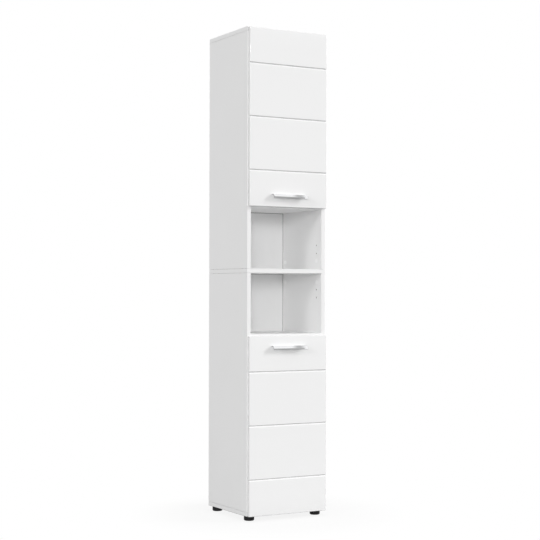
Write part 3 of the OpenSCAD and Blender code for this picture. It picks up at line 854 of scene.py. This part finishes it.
@dataclass
class Assembly:
    """A sub-assembly: makes its pieces, hangs each on its body and dresses it."""

    nodes: Dict[str, bpy.types.Object] = field(default_factory=lambda: frame["nodes"])
    size: Cabinet = CABINET

    def add(self, name: str, mesh: bpy.types.Mesh, finish: Finish, body: str,
            replaced: Sequence[str]) -> bpy.types.Object:
        """Makes a piece of a mesh.

        Args:
            name: The piece's name.
            mesh: Its mesh, in place.
            finish: Its finish.
            body: The body that it rides on.
            replaced: The CAD nodes that it stands for.

        Returns:
            The new object.
        """
        piece = linked(name, mesh)
        mesh.materials.clear()
        mesh.materials.append(finish.material())
        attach(piece, body)
        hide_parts(*replaced)
        log.info("%s: %d faces on %s", name, len(mesh.polygons), body)
        return piece

    def dress(self, node: str, finish: Finish) -> None:
        """Gives a CAD node its finish and keeps its shape.

        Args:
            node: The CAD node.
            finish: Its finish.
        """
        slots = self.nodes[node].data.materials
        slots.clear()
        slots.append(finish.material())
        log.info("%s keeps its CAD shape, in %s", node, finish.name)

    def eased(self, node: str, finish: Finish, body: str, width: float,
              shy: float = 0.0) -> bpy.types.Object:
        """A copy of a CAD node with softened edges.

        Args:
            node: The CAD node, which the copy replaces.
            finish: Its finish.
            body: The body that it rides on.
            width: Width of the softened edge.
            shy: How much shorter each end is along Z, so that a hairline shows at the joint.

        Returns:
            The new object.
        """
        source = self.nodes[node].data
        count = len(source.vertices)
        flat = np.empty(count * 3, np.float32)
        source.vertices.foreach_get("co", flat)
        height = flat[2::3]
        near = 0.01 * MM
        low, high = height.min() + near, height.max() - near
        height += shy * ((height < low).astype(np.float32) - (height > high))
        source.calc_loop_triangles()
        corners = np.empty(len(source.loop_triangles) * 3, np.int32)
        source.loop_triangles.foreach_get("vertices", corners)
        mesh = bpy.data.meshes.new(node + "_eased")
        mesh.from_pydata(flat.reshape(-1, 3).tolist(), [], corners.reshape(-1, 3).tolist())
        work = bmesh.new()
        work.from_mesh(mesh)
        bmesh.ops.remove_doubles(work, verts=work.verts, dist=CAD_WELD)
        bmesh.ops.dissolve_limit(work, angle_limit=FLAT_ANGLE, verts=work.verts, edges=work.edges)
        work.to_mesh(mesh)
        work.free()
        mesh.shade_smooth()
        piece = self.add(node + "_eased", mesh, finish, body, [node])
        soften = piece.modifiers.new("eased_edges", "BEVEL")
        soften.width = width
        soften.segments = 2
        soften.limit_method = "ANGLE"
        soften.angle_limit = EDGE_ANGLE
        soften.harden_normals = True
        soften.use_clamp_overlap = True
        return piece


# ---------------------------------------------------------------- carcass


@dataclass
class Carcass(Assembly):
    """Boards, back panels, shelves and pins, the joints in the boards, cover caps, bracket and feet."""

    edge: float = 0.4 * MM
    metal_edge: float = 0.3 * MM
    hairline: float = 0.6 * MM
    shelf_cam: float = 24 * MM
    cap_r: float = 8.5 * MM
    cap_h: float = 1.0 * MM
    foot_r: float = 20 * MM
    foot_round: float = 4.5 * MM
    foot_edge: float = 0.5 * MM
    well_r: float = 6 * MM
    boards: Tuple[str, ...] = (
        "bottom_board", "middle_board", "top_board", "lower_left_side", "lower_right_side",
        "upper_left_side", "upper_right_side", "lower_fixed_shelf", "upper_fixed_shelf",
        "lower_shelf_1", "lower_shelf_2", "upper_shelf_1", "upper_shelf_2")

    def build(self) -> None:
        """Softens the boards' edges and dresses what stays hidden."""
        for node in self.boards:
            if node.endswith("side"):
                self.eased(node, SIDE, "carcass", self.edge, self.hairline)
            else:
                self.eased(node, BOARD, "carcass", self.edge)
        for node in ("lower_back_panel", "upper_back_panel"):
            self.dress(node, PANEL)
        for node in ("shelf_pins", "wall_bracket"):
            self.eased(node, ZINC, "carcass", self.metal_edge)
        for node in ("cam_bolts", "through_bolts"):
            self.dress(node, ZINC)
        self.dress("cam_locks", CAST)
        self.dress("dowels", BEECH)
        self.caps()
        self.feet()

    def cap_places(self) -> List[Matrix]:
        """Places of the cover caps, each with +Z out of the board.

        Returns:
            One matrix for each cap: those on the side boards, and those on the fixed shelves' hidden faces.
        """
        size = self.size
        low, high = size.middle_z
        top, bottom = size.height - size.board, size.foot_h + size.board
        back = size.cam_back
        first = size.cam_edge + self.shelf_cam
        last = size.back_at - size.cam_edge - self.shelf_cam
        found = []
        for side in (-1, 1):
            for depth in (size.cam_edge, size.depth - size.cam_edge):
                for z in (high + back, low - back, top - back, bottom + back):
                    found.append(facing((side * size.inner_x, size.front + depth, z), (-side, 0, 0)))
            x = side * (size.inner_x - back)
            for depth in (first, last):
                found.append(facing((x, size.front + depth, high + size.open_h + size.board), (0, 0, 1)))
                found.append(facing((x, size.front + depth, low - size.open_h - size.board), (0, 0, -1)))
        return found

    def caps(self) -> None:
        """Cover caps: a low dome over a thin straight rim.

        The dome's height over radius r is h (0.55 + 0.45 (1 - (r / R)^4)), with h the cap's height and R its
        radius.
        """
        radius, height = self.cap_r, self.cap_h
        rho = np.linspace(0.96, 0.0, 10) * radius
        dome = 0.55 * height + 0.45 * height * (1 - (rho / radius) ** 4)
        profile = [(0.0, 0.0), (radius, 0.0), (radius, 0.35 * height), (0.985 * radius, 0.5 * height)]
        profile += list(zip(rho.tolist(), dome.tolist()))
        shape = lathe(profile, 40)
        skin = Skin()
        for place in self.cap_places():
            skin.grid(placed(shape, place), wrap=True)
        self.add("cover_caps", skin.mesh("cover_caps"), CAP, "carcass", ["cam_caps"])

    def feet(self) -> None:
        """Round feet: a straight wall over a quarter circle, with a flat ring and a screw well below.

        At turn t of the quarter circle of radius r the profile lies at radius R - r + r sin t and at height
        r (1 - cos t).
        """
        radius, height, rounding = self.foot_r, self.size.foot_h, self.foot_round
        well, edge, roof = self.well_r, self.foot_edge, self.size.foot_well
        turn = np.radians(np.linspace(0, 90, 10))
        profile = [(0.0, roof), (well, roof), (well, edge), (well + edge, 0.0)]
        profile += [(radius - rounding + rounding * math.sin(t), rounding * (1 - math.cos(t))) for t in turn]
        profile += [(radius, height - 0.6 * MM), (radius - edge, height), (0.0, height)]
        shape = lathe(profile, 64)
        low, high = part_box("feet")
        skin = Skin()
        for x in (low.x + radius, high.x - radius):
            for y in (low.y + radius, high.y - radius):
                skin.grid(placed(shape, Matrix.Translation((x, y, 0))), wrap=True)
        self.add("round_feet", skin.mesh("round_feet"), FOOT, "carcass", ["feet"])


# ---------------------------------------------------------------- screws


@dataclass
class Screw(Assembly):
    """Screws with domed heads and a cross recess."""

    head_r: float = 3.5 * MM
    head_h: float = 1.6 * MM
    shank_r: float = 2.0 * MM
    length: float = 10 * MM
    rim_drop: float = 0.45
    cross_depth: float = 0.55
    cross_w: float = 0.28
    cross_l: float = 1.2

    def bar(self, along: np.ndarray, across: np.ndarray) -> np.ndarray:
        """One bar of the cross: 1 near its middle line, 0 beside it and past its ends, linear between."""
        side = np.clip(1.5 - np.abs(across) / (self.cross_w / 2 * self.head_r), 0, 1)
        return side * np.clip(3 - 3 * np.abs(along) / (0.6 * self.cross_l * self.head_r), 0, 1)

    def shape(self, rows: int = 14, count: int = 48) -> np.ndarray:
        """Head, underside and shank as one grid about +Z, with the head's seat at z = 0.

        The head's height over radius r is h (1 - 0.45 (r / R)^2), with R the head's radius. The cross takes
        off 0.55 h where a bar 0.28 R wide and 1.2 R long lies along X or Y.

        Args:
            rows: Rings on the head.
            count: Points around a ring.

        Returns:
            The grid of points.
        """
        rho = np.linspace(0.0, 1.0, rows)[:, None] * self.head_r
        turn = np.linspace(0, 2 * math.pi, count, endpoint=False)[None, :]
        x, y = rho * np.cos(turn), rho * np.sin(turn)
        dome = self.head_h * (1 - self.rim_drop * (rho / self.head_r) ** 2)
        cross = np.maximum(self.bar(x, y), self.bar(y, x))
        head = np.stack([x, y, dome - self.cross_depth * self.head_h * cross], axis=-1)
        rest = lathe([(self.head_r, 0.25 * self.head_h), (self.head_r * 0.97, 0.0), (self.shank_r, 0.0),
                      (self.shank_r, -self.length), (0.0, -self.length)], count)
        return np.concatenate([head, rest])

    def build(self, name: str, finish: Finish, body: str, replaced: Sequence[str],
              places: Sequence[Matrix]) -> None:
        """Sets the screw at each place.

        Args:
            name: The piece's name.
            finish: Its finish.
            body: The body that it rides on.
            replaced: The CAD nodes that it stands for.
            places: One matrix for each screw, with +Z out of its head.
        """
        shape = self.shape()
        skin = Skin()
        for place in places:
            skin.grid(placed(shape, place), wrap=True, flip=True)
        self.add(name, skin.mesh(name), finish, body, replaced)


# ---------------------------------------------------------------- doors


@dataclass
class Door(Assembly):
    """A grooved door with its handle, pads, hinge cups and screws."""

    level: Level = Level.UPPER
    low: float = CABINET.upper_door
    half_w: float = CABINET.door_half_w
    edge_r: float = 2 * MM
    rear_edge: float = 0.4 * MM
    cup_r: float = 17.6 * MM
    cup_depth: float = 11.5 * MM
    cup_edge: float = 0.25 * MM
    flange: float = 0.8 * MM
    cup_screw_x: float = 9.5 * MM
    cup_screw_z: float = 24 * MM

    @property
    def body(self) -> str:
        """The body that the door is."""
        return self.level.value + "_door"

    def node(self, name: str) -> str:
        """The name of one of the door's CAD nodes."""
        return self.level.value + "_" + name

    def build(self) -> None:
        """Makes the leaf and dresses what hangs on it."""
        self.leaf()
        low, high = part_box(self.node("handle_screws"))
        pull_z = (low.z + high.z) / 2
        Handle(level=self.level, screws_z=pull_z).build()
        self.eased(self.node("hinge_cups"), NICKEL, self.body, self.cup_edge)
        self.dress(self.node("cup_pins"), ZINC)
        self.pads()
        self.screws(pull_z)

    def steps(self, start: float, end: float, dense: Sequence[float]) -> np.ndarray:
        """Sample places across a face: close together on its rounded ends and around each line.

        Args:
            start: Lowest place.
            end: Highest place.
            dense: Middles of the lines.

        Returns:
            The places in order.
        """
        turn = np.radians(np.linspace(0, 90, 7))
        roll = self.edge_r * (1 - np.sin(turn))
        flat = np.linspace(start + self.edge_r, end - self.edge_r, 12)
        parts = [start + roll, end - roll, flat]
        for middle in dense:
            parts.append(middle + np.linspace(-0.8, 0.8, 41) * self.size.line_w)
        return np.unique(np.round(np.concatenate(parts), 7))

    def roll(self, place: np.ndarray, start: float, end: float) -> np.ndarray:
        """Depth of the rounded edge: r - sqrt(r^2 - d^2), with d how far a place lies into the rounding."""
        into = np.maximum(np.maximum(start + self.edge_r - place, place - (end - self.edge_r)), 0)
        return self.edge_r - np.sqrt(np.maximum(self.edge_r ** 2 - into ** 2, 0))

    def line(self, place: np.ndarray) -> np.ndarray:
        """Depth of the routed lines: a V with a soft bottom and soft lips.

        With s the distance from the middle over half the width, u = 1 - sqrt(s^2 + 0.12^2), and the depth is
        D (u + sqrt(u^2 + 0.1^2)) / 2, less its small rest far from the line.

        Args:
            place: Heights to work it out at.

        Returns:
            The depth at each height.
        """
        total = np.zeros_like(place)
        for middle in self.size.marks(self.low):
            share = np.abs(place - middle) / (self.size.line_w / 2)
            into = 1 - np.sqrt(share ** 2 + 0.12 ** 2)
            depth = self.size.line_depth * ((into + np.sqrt(into ** 2 + 0.01)) / 2 - 0.004)
            total += np.where(share < 1.6, depth, 0)
        return np.maximum(total, 0)

    def leaf(self) -> None:
        """The door itself.

        The face is y = front + roll(x) + roll(z) + line(z). Its border runs back to a small chamfer and the
        flat rear, which has a blind bore for each hinge cup.
        """
        top = self.low + self.size.door_h
        x = self.steps(-self.half_w, self.half_w, [])
        z = self.steps(self.low, top, self.size.marks(self.low))
        face, rear = self.size.door_face, self.size.door_rear
        across = self.roll(x, -self.half_w, self.half_w)
        upright = self.roll(z, self.low, top) + self.line(z)
        c = self.rear_edge
        x_all = np.concatenate([[x[0] + c, x[0]], x, [x[-1], x[-1] - c]])
        z_all = np.concatenate([[z[0] + c, z[0]], z, [z[-1], z[-1] - c]])
        y_all = np.full((len(z_all), len(x_all)), rear - c)
        y_all[2:-2, 2:-2] = face + (across[None, :] + upright[:, None])
        y_all[0, :] = y_all[-1, :] = rear
        y_all[:, 0] = y_all[:, -1] = rear
        wide = np.broadcast_to(x_all, y_all.shape)
        tall = np.broadcast_to(z_all[:, None], y_all.shape)
        grid = np.stack([wide, y_all, tall], axis=-1)
        grid[0, :, 0] = np.clip(grid[0, :, 0], x[0] + c, x[-1] - c)
        grid[-1, :, 0] = grid[0, :, 0]
        grid[:, 0, 2] = np.clip(grid[:, 0, 2], z[0] + c, z[-1] - c)
        grid[:, -1, 2] = grid[:, 0, 2]
        skin = Skin()
        skin.grid(grid)
        outline = np.concatenate([grid[0, :-1], grid[:-1, -1], grid[-1, :0:-1], grid[:0:-1, 0]])
        keep = np.linalg.norm(outline - np.roll(outline, 1, axis=0), axis=1) > NO_STEP
        holes = []
        for level in self.size.hinges(self.level is Level.UPPER):
            place = facing((self.size.cup_x, rear, level), (0, 1, 0))
            holes.append(placed(ring(self.cup_r, 0.0, 64), place))
            wall = lathe([(self.cup_r, 0.0), (self.cup_r, -self.cup_depth), (0.0, -self.cup_depth)], 64)
            skin.grid(placed(wall, place), wrap=True, flip=True)
        skin.flat([outline[keep]] + holes, Vector((0, 1, 0)))
        mesh = skin.mesh(self.node("door_leaf"), crease=50)
        self.add(self.node("door_leaf"), mesh, FRONT, self.body, [self.node("door")])

    def pads(self) -> None:
        """Small round pads on the rear: a lathe profile with a soft outer edge."""
        low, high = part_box(self.node("door_bumpers"))
        radius = (high.x - low.x) / 2
        thick = high.y - low.y
        profile = [(0.0, 0.0), (radius, 0.0), (radius, 0.5 * thick), (radius - 0.3 * thick, 0.9 * thick),
                   (radius - 0.8 * thick, thick), (0.0, thick)]
        skin = Skin()
        for z in (low.z + radius, high.z - radius):
            skin.grid(placed(lathe(profile, 32), facing((low.x + radius, low.y, z), (0, 1, 0))), wrap=True)
        name = self.node("door_pads")
        self.add(name, skin.mesh(name), PAD, self.body, [self.node("door_bumpers")])

    def screws(self, pull_z: float) -> None:
        """Cup screws and handle screws, with their heads towards the cupboard.

        Args:
            pull_z: Level of the handle screws.
        """
        rear = self.size.door_rear
        x, y = self.size.cup_x - self.cup_screw_x, rear + self.flange
        cups = [facing((x, y, z + way * self.cup_screw_z), (0, 1, 0))
                for z in self.size.hinges(self.level is Level.UPPER) for way in (-1, 1)]
        Screw(head_r=3.2 * MM, head_h=1.0 * MM, shank_r=1.75 * MM, length=12 * MM).build(
            self.node("cup_screw_set"), ZINC, self.body, [self.node("cup_screws")], cups)
        pulls = [facing((way * self.size.pull_x, rear, pull_z), (0, 1, 0)) for way in (-1, 1)]
        Screw(head_r=4 * MM, head_h=2.2 * MM, shank_r=2 * MM, length=23.5 * MM).build(
            self.node("handle_screw_set"), ZINC, self.body, [self.node("handle_screws")], pulls)


@dataclass
class Handle(Assembly):
    """A shell handle: a nearly flat top, a knee and a slope down to an upright lip, open below."""

    level: Level = Level.UPPER
    screws_z: float = 1251 * MM
    half_l: float = 76 * MM
    height: float = 14.7 * MM
    rise: float = 5.8 * MM
    depth: float = 22 * MM
    wall: float = 2.5 * MM
    knee_out: float = 12.5 * MM
    knee_drop: float = 0.2 * MM
    lip: float = 2.6 * MM
    knee_r: float = 1.2 * MM
    lip_r: float = 0.8 * MM
    end_r: float = 0.4 * MM
    boss_r: float = 4.5 * MM
    boss_x: float = CABINET.pull_x

    @property
    def slopes(self) -> Tuple[float, float]:
        """How fast the top and the slope fall for each metre out from the door."""
        drop, out = self.height - self.knee_drop - self.lip, self.depth - self.knee_out
        return self.knee_drop / self.knee_out, drop / out

    @property
    def low(self) -> float:
        """Level of the lip's lower end."""
        return self.screws_z + self.rise - self.height

    @property
    def hollow(self) -> List[Point]:
        """Corners of the hollow under the shell, a wall inside the outer lines.

        Returns:
            The corners as (distance from the door, height above the lip's end), from the lip to the door.
        """
        top, fall = self.slopes
        high = self.height - self.wall * math.hypot(1, top)
        slope = self.lip + fall * (self.depth - self.wall * math.hypot(1, fall) / fall)
        front, knee = self.depth - self.wall, (slope - high) / (fall - top)
        return [(front, 0.0), (front, slope - front * fall), (knee, high - knee * top), (0.0, high)]

    @staticmethod
    def rounded(before: Point, corner: Point, after: Point, radius: float, count: int = 8) -> List[Point]:
        """Points of the circle of a radius that touches both lines of a corner.

        Args:
            before: A point on the line that comes in.
            corner: The corner.
            after: A point on the line that goes out.
            radius: The circle's radius.
            count: Number of steps.

        Returns:
            The points, from the first line to the second.
        """
        b, c, a = (np.array(point) for point in (before, corner, after))
        u, v = (b - c) / np.linalg.norm(b - c), (a - c) / np.linalg.norm(a - c)
        half = math.acos(float(np.clip(u @ v, -1, 1))) / 2
        middle = c + (u + v) / np.linalg.norm(u + v) * radius / math.sin(half)
        start, end = c + u * radius / math.tan(half) - middle, c + v * radius / math.tan(half) - middle
        sweep = math.pi - 2 * half
        share = np.linspace(0, 1, count + 1)[:, None]
        turned = (start * np.sin((1 - share) * sweep) + end * np.sin(share * sweep)) / math.sin(sweep)
        return [tuple(point) for point in middle + turned]

    def outline(self) -> np.ndarray:
        """The section as (distance from the door, height above the lip's end).

        Straight lines join the door, the knee and the lip outside, and run parallel to them a wall further
        in. The knees and the lip's edges are arcs.

        Returns:
            The points in order, from the door at the top round the lip to the door below the wall.
        """
        knee = (self.knee_out, self.height - self.knee_drop)
        corners = [(0.0, self.height), knee, (self.depth, self.lip), (self.depth, 0.0)] + self.hollow
        radii = [self.knee_r] + [self.lip_r] * 4 + [self.knee_r / 2]
        points = [corners[0]]
        for i, radius in enumerate(radii, 1):
            points += self.rounded(corners[i - 1], corners[i], corners[i + 1], radius)
        return np.array(points + [corners[-1]])

    def build(self) -> None:
        """Carries the section along X and adds the two bosses.

        Near each end the section draws inwards by r - sqrt(r^2 - e^2), where e is how far it lies into the
        rounding of radius r.
        """
        flat = self.outline()
        ahead = np.roll(flat, -1, axis=0) - np.roll(flat, 1, axis=0)
        inwards = np.stack([ahead[:, 1], -ahead[:, 0]], axis=-1)
        inwards /= np.linalg.norm(inwards, axis=1)[:, None]
        into = self.end_r * np.sin(np.radians(np.linspace(90, 0, 6)))
        shrink = self.end_r - np.sqrt(np.maximum(self.end_r ** 2 - into ** 2, 0))
        place = self.half_l - self.end_r + into
        stations = np.concatenate([-place, np.linspace(-0.9, 0.9, 7) * self.half_l, place[::-1]])
        shrink = np.concatenate([shrink, np.zeros(7), shrink[::-1]])
        section = flat[None, :, :] + inwards[None, :, :] * shrink[:, None, None]
        section[:, (0, -1), 0] = 0
        wide = np.broadcast_to(stations[:, None], section.shape[:2])
        out, up = self.size.door_face - section[:, :, 0], self.low + section[:, :, 1]
        grid = np.stack([wide, out, up], axis=-1)
        skin = Skin()
        skin.grid(grid, wrap=True)
        skin.flat([grid[0]], Vector((-1, 0, 0)))
        skin.flat([grid[-1]], Vector((1, 0, 0)))
        for x in (-self.boss_x, self.boss_x):
            self.boss(skin, x)
        name = self.level.value + "_shell_handle"
        mesh = skin.mesh(name, crease=40)
        self.add(name, mesh, CHROME, self.level.value + "_door", [self.level.value + "_handle"])

    def boss(self, skin: Skin, x: float, count: int = 40) -> None:
        """A round boss from the door to the middle of the shell's wall.

        Its end follows the shell: at height z above the lip it lies where the wall's middle line reaches z.

        Args:
            skin: Where the boss goes.
            x: Its place along the handle.
            count: Points around it.
        """
        _, fall = self.slopes
        front, high = self.depth - self.wall / 2, self.hollow[-1][1]
        reach = self.depth - self.wall / 2 * math.hypot(1, fall) / fall
        rows = []
        for share, end in ((0.0, 0.0), (1.0, 0.0), (1.0, 1.0), (0.0, 1.0)):
            points = ring(self.boss_r * share, 0.0, count)
            up = self.screws_z - self.low + points[:, 1]
            out = np.minimum(reach - (up - self.lip) / fall, front)
            out = np.where(up > high, np.minimum(out, self.knee_out), out) * end
            rows.append(np.stack([x + points[:, 0], self.size.door_face - out, self.low + up], axis=-1))
        skin.grid(np.stack(rows), wrap=True)


# ---------------------------------------------------------------- hinges


@dataclass
class Hinges(Assembly):
    """Arms, plates and links of the four concealed hinges."""

    arm_edge: float = 0.3 * MM
    link_edge: float = 0.25 * MM
    plate_t: float = 2.5 * MM
    plate_back: float = 37 * MM
    plate_screw_z: float = 16 * MM
    arm_in: float = 13.5 * MM
    arm_back: float = 56 * MM

    def build(self) -> None:
        """Softens the pressed parts and sets their screws."""
        for node in ("hinge_arms", "hinge_plates"):
            self.eased(node, NICKEL, "carcass", self.arm_edge)
        for level in Level:
            self.eased(level.value + "_hinge_links", NICKEL, level.value + "_links", self.link_edge)
        self.dress("hinge_arm_pins", ZINC)
        levels = [z for upper in (True, False) for z in self.size.hinges(upper)]
        x, front = self.size.inner_x, self.size.front
        seat = x - self.plate_t
        plates = [facing((seat, front + self.plate_back, z + way * self.plate_screw_z), (-1, 0, 0))
                  for z in levels for way in (-1, 1)]
        Screw(head_r=3.6 * MM, head_h=1.8 * MM, shank_r=2.4 * MM, length=13.5 * MM).build(
            "plate_screw_set", ZINC, "carcass", ["hinge_plate_screws"], plates)
        arms = [facing((x - self.arm_in, front + self.arm_back, z), (-1, 0, 0)) for z in levels]
        Screw(head_r=3.5 * MM, head_h=1.6 * MM, shank_r=2 * MM, length=8.5 * MM).build(
            "arm_screw_set", ZINC, "carcass", ["hinge_arm_screws"], arms)


@dataclass
class SmallScrews(Assembly):
    """Screws of the feet and of the wall bracket."""

    foot_head: float = 4.5 * MM
    bracket_in: float = 18 * MM
    bracket_t: float = 2 * MM
    bracket_x: float = 8 * MM

    def build(self) -> None:
        """Sets the foot screws from below and the bracket screws into the top board."""
        low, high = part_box("foot_screws")
        r = self.foot_head
        feet = [facing((x, y, self.size.foot_well), (0, 0, -1))
                for x in (low.x + r, high.x - r) for y in (low.y + r, high.y - r)]
        Screw(head_r=r, head_h=2 * MM, shank_r=2 * MM, length=21.5 * MM).build(
            "foot_screw_set", ZINC, "carcass", ["foot_screws"], feet)
        z = self.size.height - self.size.board - self.bracket_t
        y = self.size.front + self.size.back_at - self.bracket_in
        bracket = [facing((x, y, z), (0, 0, -1)) for x in (-self.bracket_x, self.bracket_x)]
        Screw(head_r=3.5 * MM, head_h=1.8 * MM, shank_r=1.75 * MM, length=13.5 * MM).build(
            "bracket_screw_set", ZINC, "carcass", ["wall_bracket_screws"], bracket)


# ---------------------------------------------------------------- studio


@dataclass(frozen=True)
class Lamp:
    """A soft light: its name, its strength, the way that its light travels, and its spread in degrees."""

    name: str
    strength: float
    way: Triple
    spread: float


@dataclass
class Studio:
    """Floor, world, four soft lamps and camera."""

    focal_pixels: float = 1340.2
    photo_pixels: float = 540
    sensor: float = 36
    eye: Triple = (-2631.9 * MM, -4647.2 * MM, 872.3 * MM)
    yaw: float = -29.578
    pitch: float = 1.005
    roll: float = 0.111
    fill: float = 0.50
    lamps: Tuple[Lamp, ...] = (
        Lamp("right_softbox_top", 0.68, (-1.68, 1.0, -1.04), 9.5),
        Lamp("right_softbox_low", 0.68, (-1.68, 1.0, -0.65), 9.5),
        Lamp("left_softbox", 0.62, (2.67, 1.0, -0.95), 14.7),
        Lamp("front_softbox", 0.90, (0.52, 1.0, -0.15), 12.0))
    floor_tone: float = 0.50
    floor_seen: float = 0.93
    floor_lift: float = 0.87
    lift_from: float = 0.22
    lift_to: float = 0.6

    def build(self) -> None:
        """Sets the whole studio up."""
        self.camera()
        self.world()
        for lamp in self.lamps:
            self.light(lamp)
        self.floor()
        scene = bpy.context.scene
        scene.view_settings.view_transform = "Standard"
        scene.cycles.max_bounces = 16
        scene.cycles.diffuse_bounces = 12

    def camera(self) -> None:
        """The photograph's camera, from its solved yaw, pitch and roll."""
        yaw, pitch, roll = (math.radians(v) for v in (self.yaw, self.pitch, self.roll))
        forward = Vector((-math.sin(yaw) * math.cos(pitch), math.cos(yaw) * math.cos(pitch), math.sin(pitch)))
        right = Vector((math.cos(yaw), math.sin(yaw), 0.0))
        up = right.cross(forward)
        cos, sin = math.cos(roll), math.sin(roll)
        right, up = right * cos + up * sin, up * cos - right * sin
        data = bpy.data.cameras.new("photo_camera")
        data.lens = self.focal_pixels / self.photo_pixels * self.sensor
        data.sensor_width = self.sensor
        data.clip_end = 100
        made = linked("photo_camera", data)
        turn = Matrix((right, up, -forward)).transposed().to_4x4()
        made.matrix_world = Matrix.Translation(self.eye) @ turn
        bpy.context.scene.camera = made

    def seen(self, sheet: Sheet) -> Wire:
        """Tells the rays that show a surface from those that light the object.

        Args:
            sheet: The nodes of the world or the floor.

        Returns:
            1 on camera, glossy and transmission rays, 0 on the others.
        """
        rays = [sheet.node("ShaderNodeLightPath", {}, {}, ray)
                for ray in ("Is Camera Ray", "Is Glossy Ray", "Is Transmission Ray")]
        return rays[0].most(rays[1]).most(rays[2])

    def world(self) -> None:
        """A white surround that lights the object at a plain level."""
        made = bpy.data.worlds.new("studio")
        made.use_nodes = True
        bpy.context.scene.world = made
        sheet = Sheet(made.node_tree)
        light, white = (sheet.node("ShaderNodeBackground", {}, {"Color": rgba(WHITE), "Strength": strength})
                        for strength in (self.fill, 1.0))
        mixed = sheet.node("ShaderNodeMixShader", {}, {0: self.seen(sheet), 1: light, 2: white})
        sheet.finish("ShaderNodeOutputWorld", mixed)

    def light(self, lamp: Lamp) -> None:
        """Hangs one soft lamp.

        Args:
            lamp: The lamp.
        """
        data = bpy.data.lights.new(lamp.name, "SUN")
        data.energy = lamp.strength
        data.angle = math.radians(lamp.spread)
        made = linked(lamp.name, data)
        made.rotation_mode = "QUATERNION"
        made.rotation_quaternion = Vector(lamp.way).to_track_quat("-Z", "Y")

    def floor(self, reach: float = 30.0) -> None:
        """A pale floor: plain where it lights the object, nearly white to the camera, with a faint shadow.

        Args:
            reach: Half the floor's width.
        """
        mesh = bpy.data.meshes.new("studio_floor")
        corners = [(-reach, -reach, 0.0), (reach, -reach, 0.0), (reach, reach, 0.0), (-reach, reach, 0.0)]
        mesh.from_pydata(corners, [], [(0, 1, 2, 3)])
        made = linked("studio_floor", mesh)
        coat = bpy.data.materials.new("studio_floor")
        coat.use_nodes = True
        sheet = Sheet(coat.node_tree)
        seen = self.seen(sheet)
        tone = sheet.mix(seen, rgba(WHITE, self.floor_tone), rgba(WHITE, self.floor_seen))
        paper = sheet.node("ShaderNodeBsdfDiffuse", {}, {"Color": tone})
        white = sheet.node("ShaderNodeEmission", {}, {"Color": rgba(WHITE), "Strength": 1.0})
        away = sheet.node("ShaderNodeVectorMath", {"operation": "LENGTH"}, {0: sheet.place()}, "Value")
        lift = self.floor_lift + (1 - self.floor_lift) * away.ramp(self.lift_from, self.lift_to)
        mixed = sheet.node("ShaderNodeMixShader", {}, {0: seen * lift, 1: paper, 2: white})
        sheet.finish("ShaderNodeOutputMaterial", mixed)
        mesh.materials.append(coat)


def main() -> None:
    """Builds the studio and the sub-assemblies in order."""
    logging.basicConfig(level=logging.INFO, format="%(name)s: %(message)s")
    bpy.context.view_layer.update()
    Studio().build()
    Carcass().build()
    Hinges().build()
    SmallScrews().build()
    Door(level=Level.LOWER, low=CABINET.lower_door).build()
    Door(level=Level.UPPER, low=CABINET.upper_door).build()


if __name__ == "__main__":
    main()
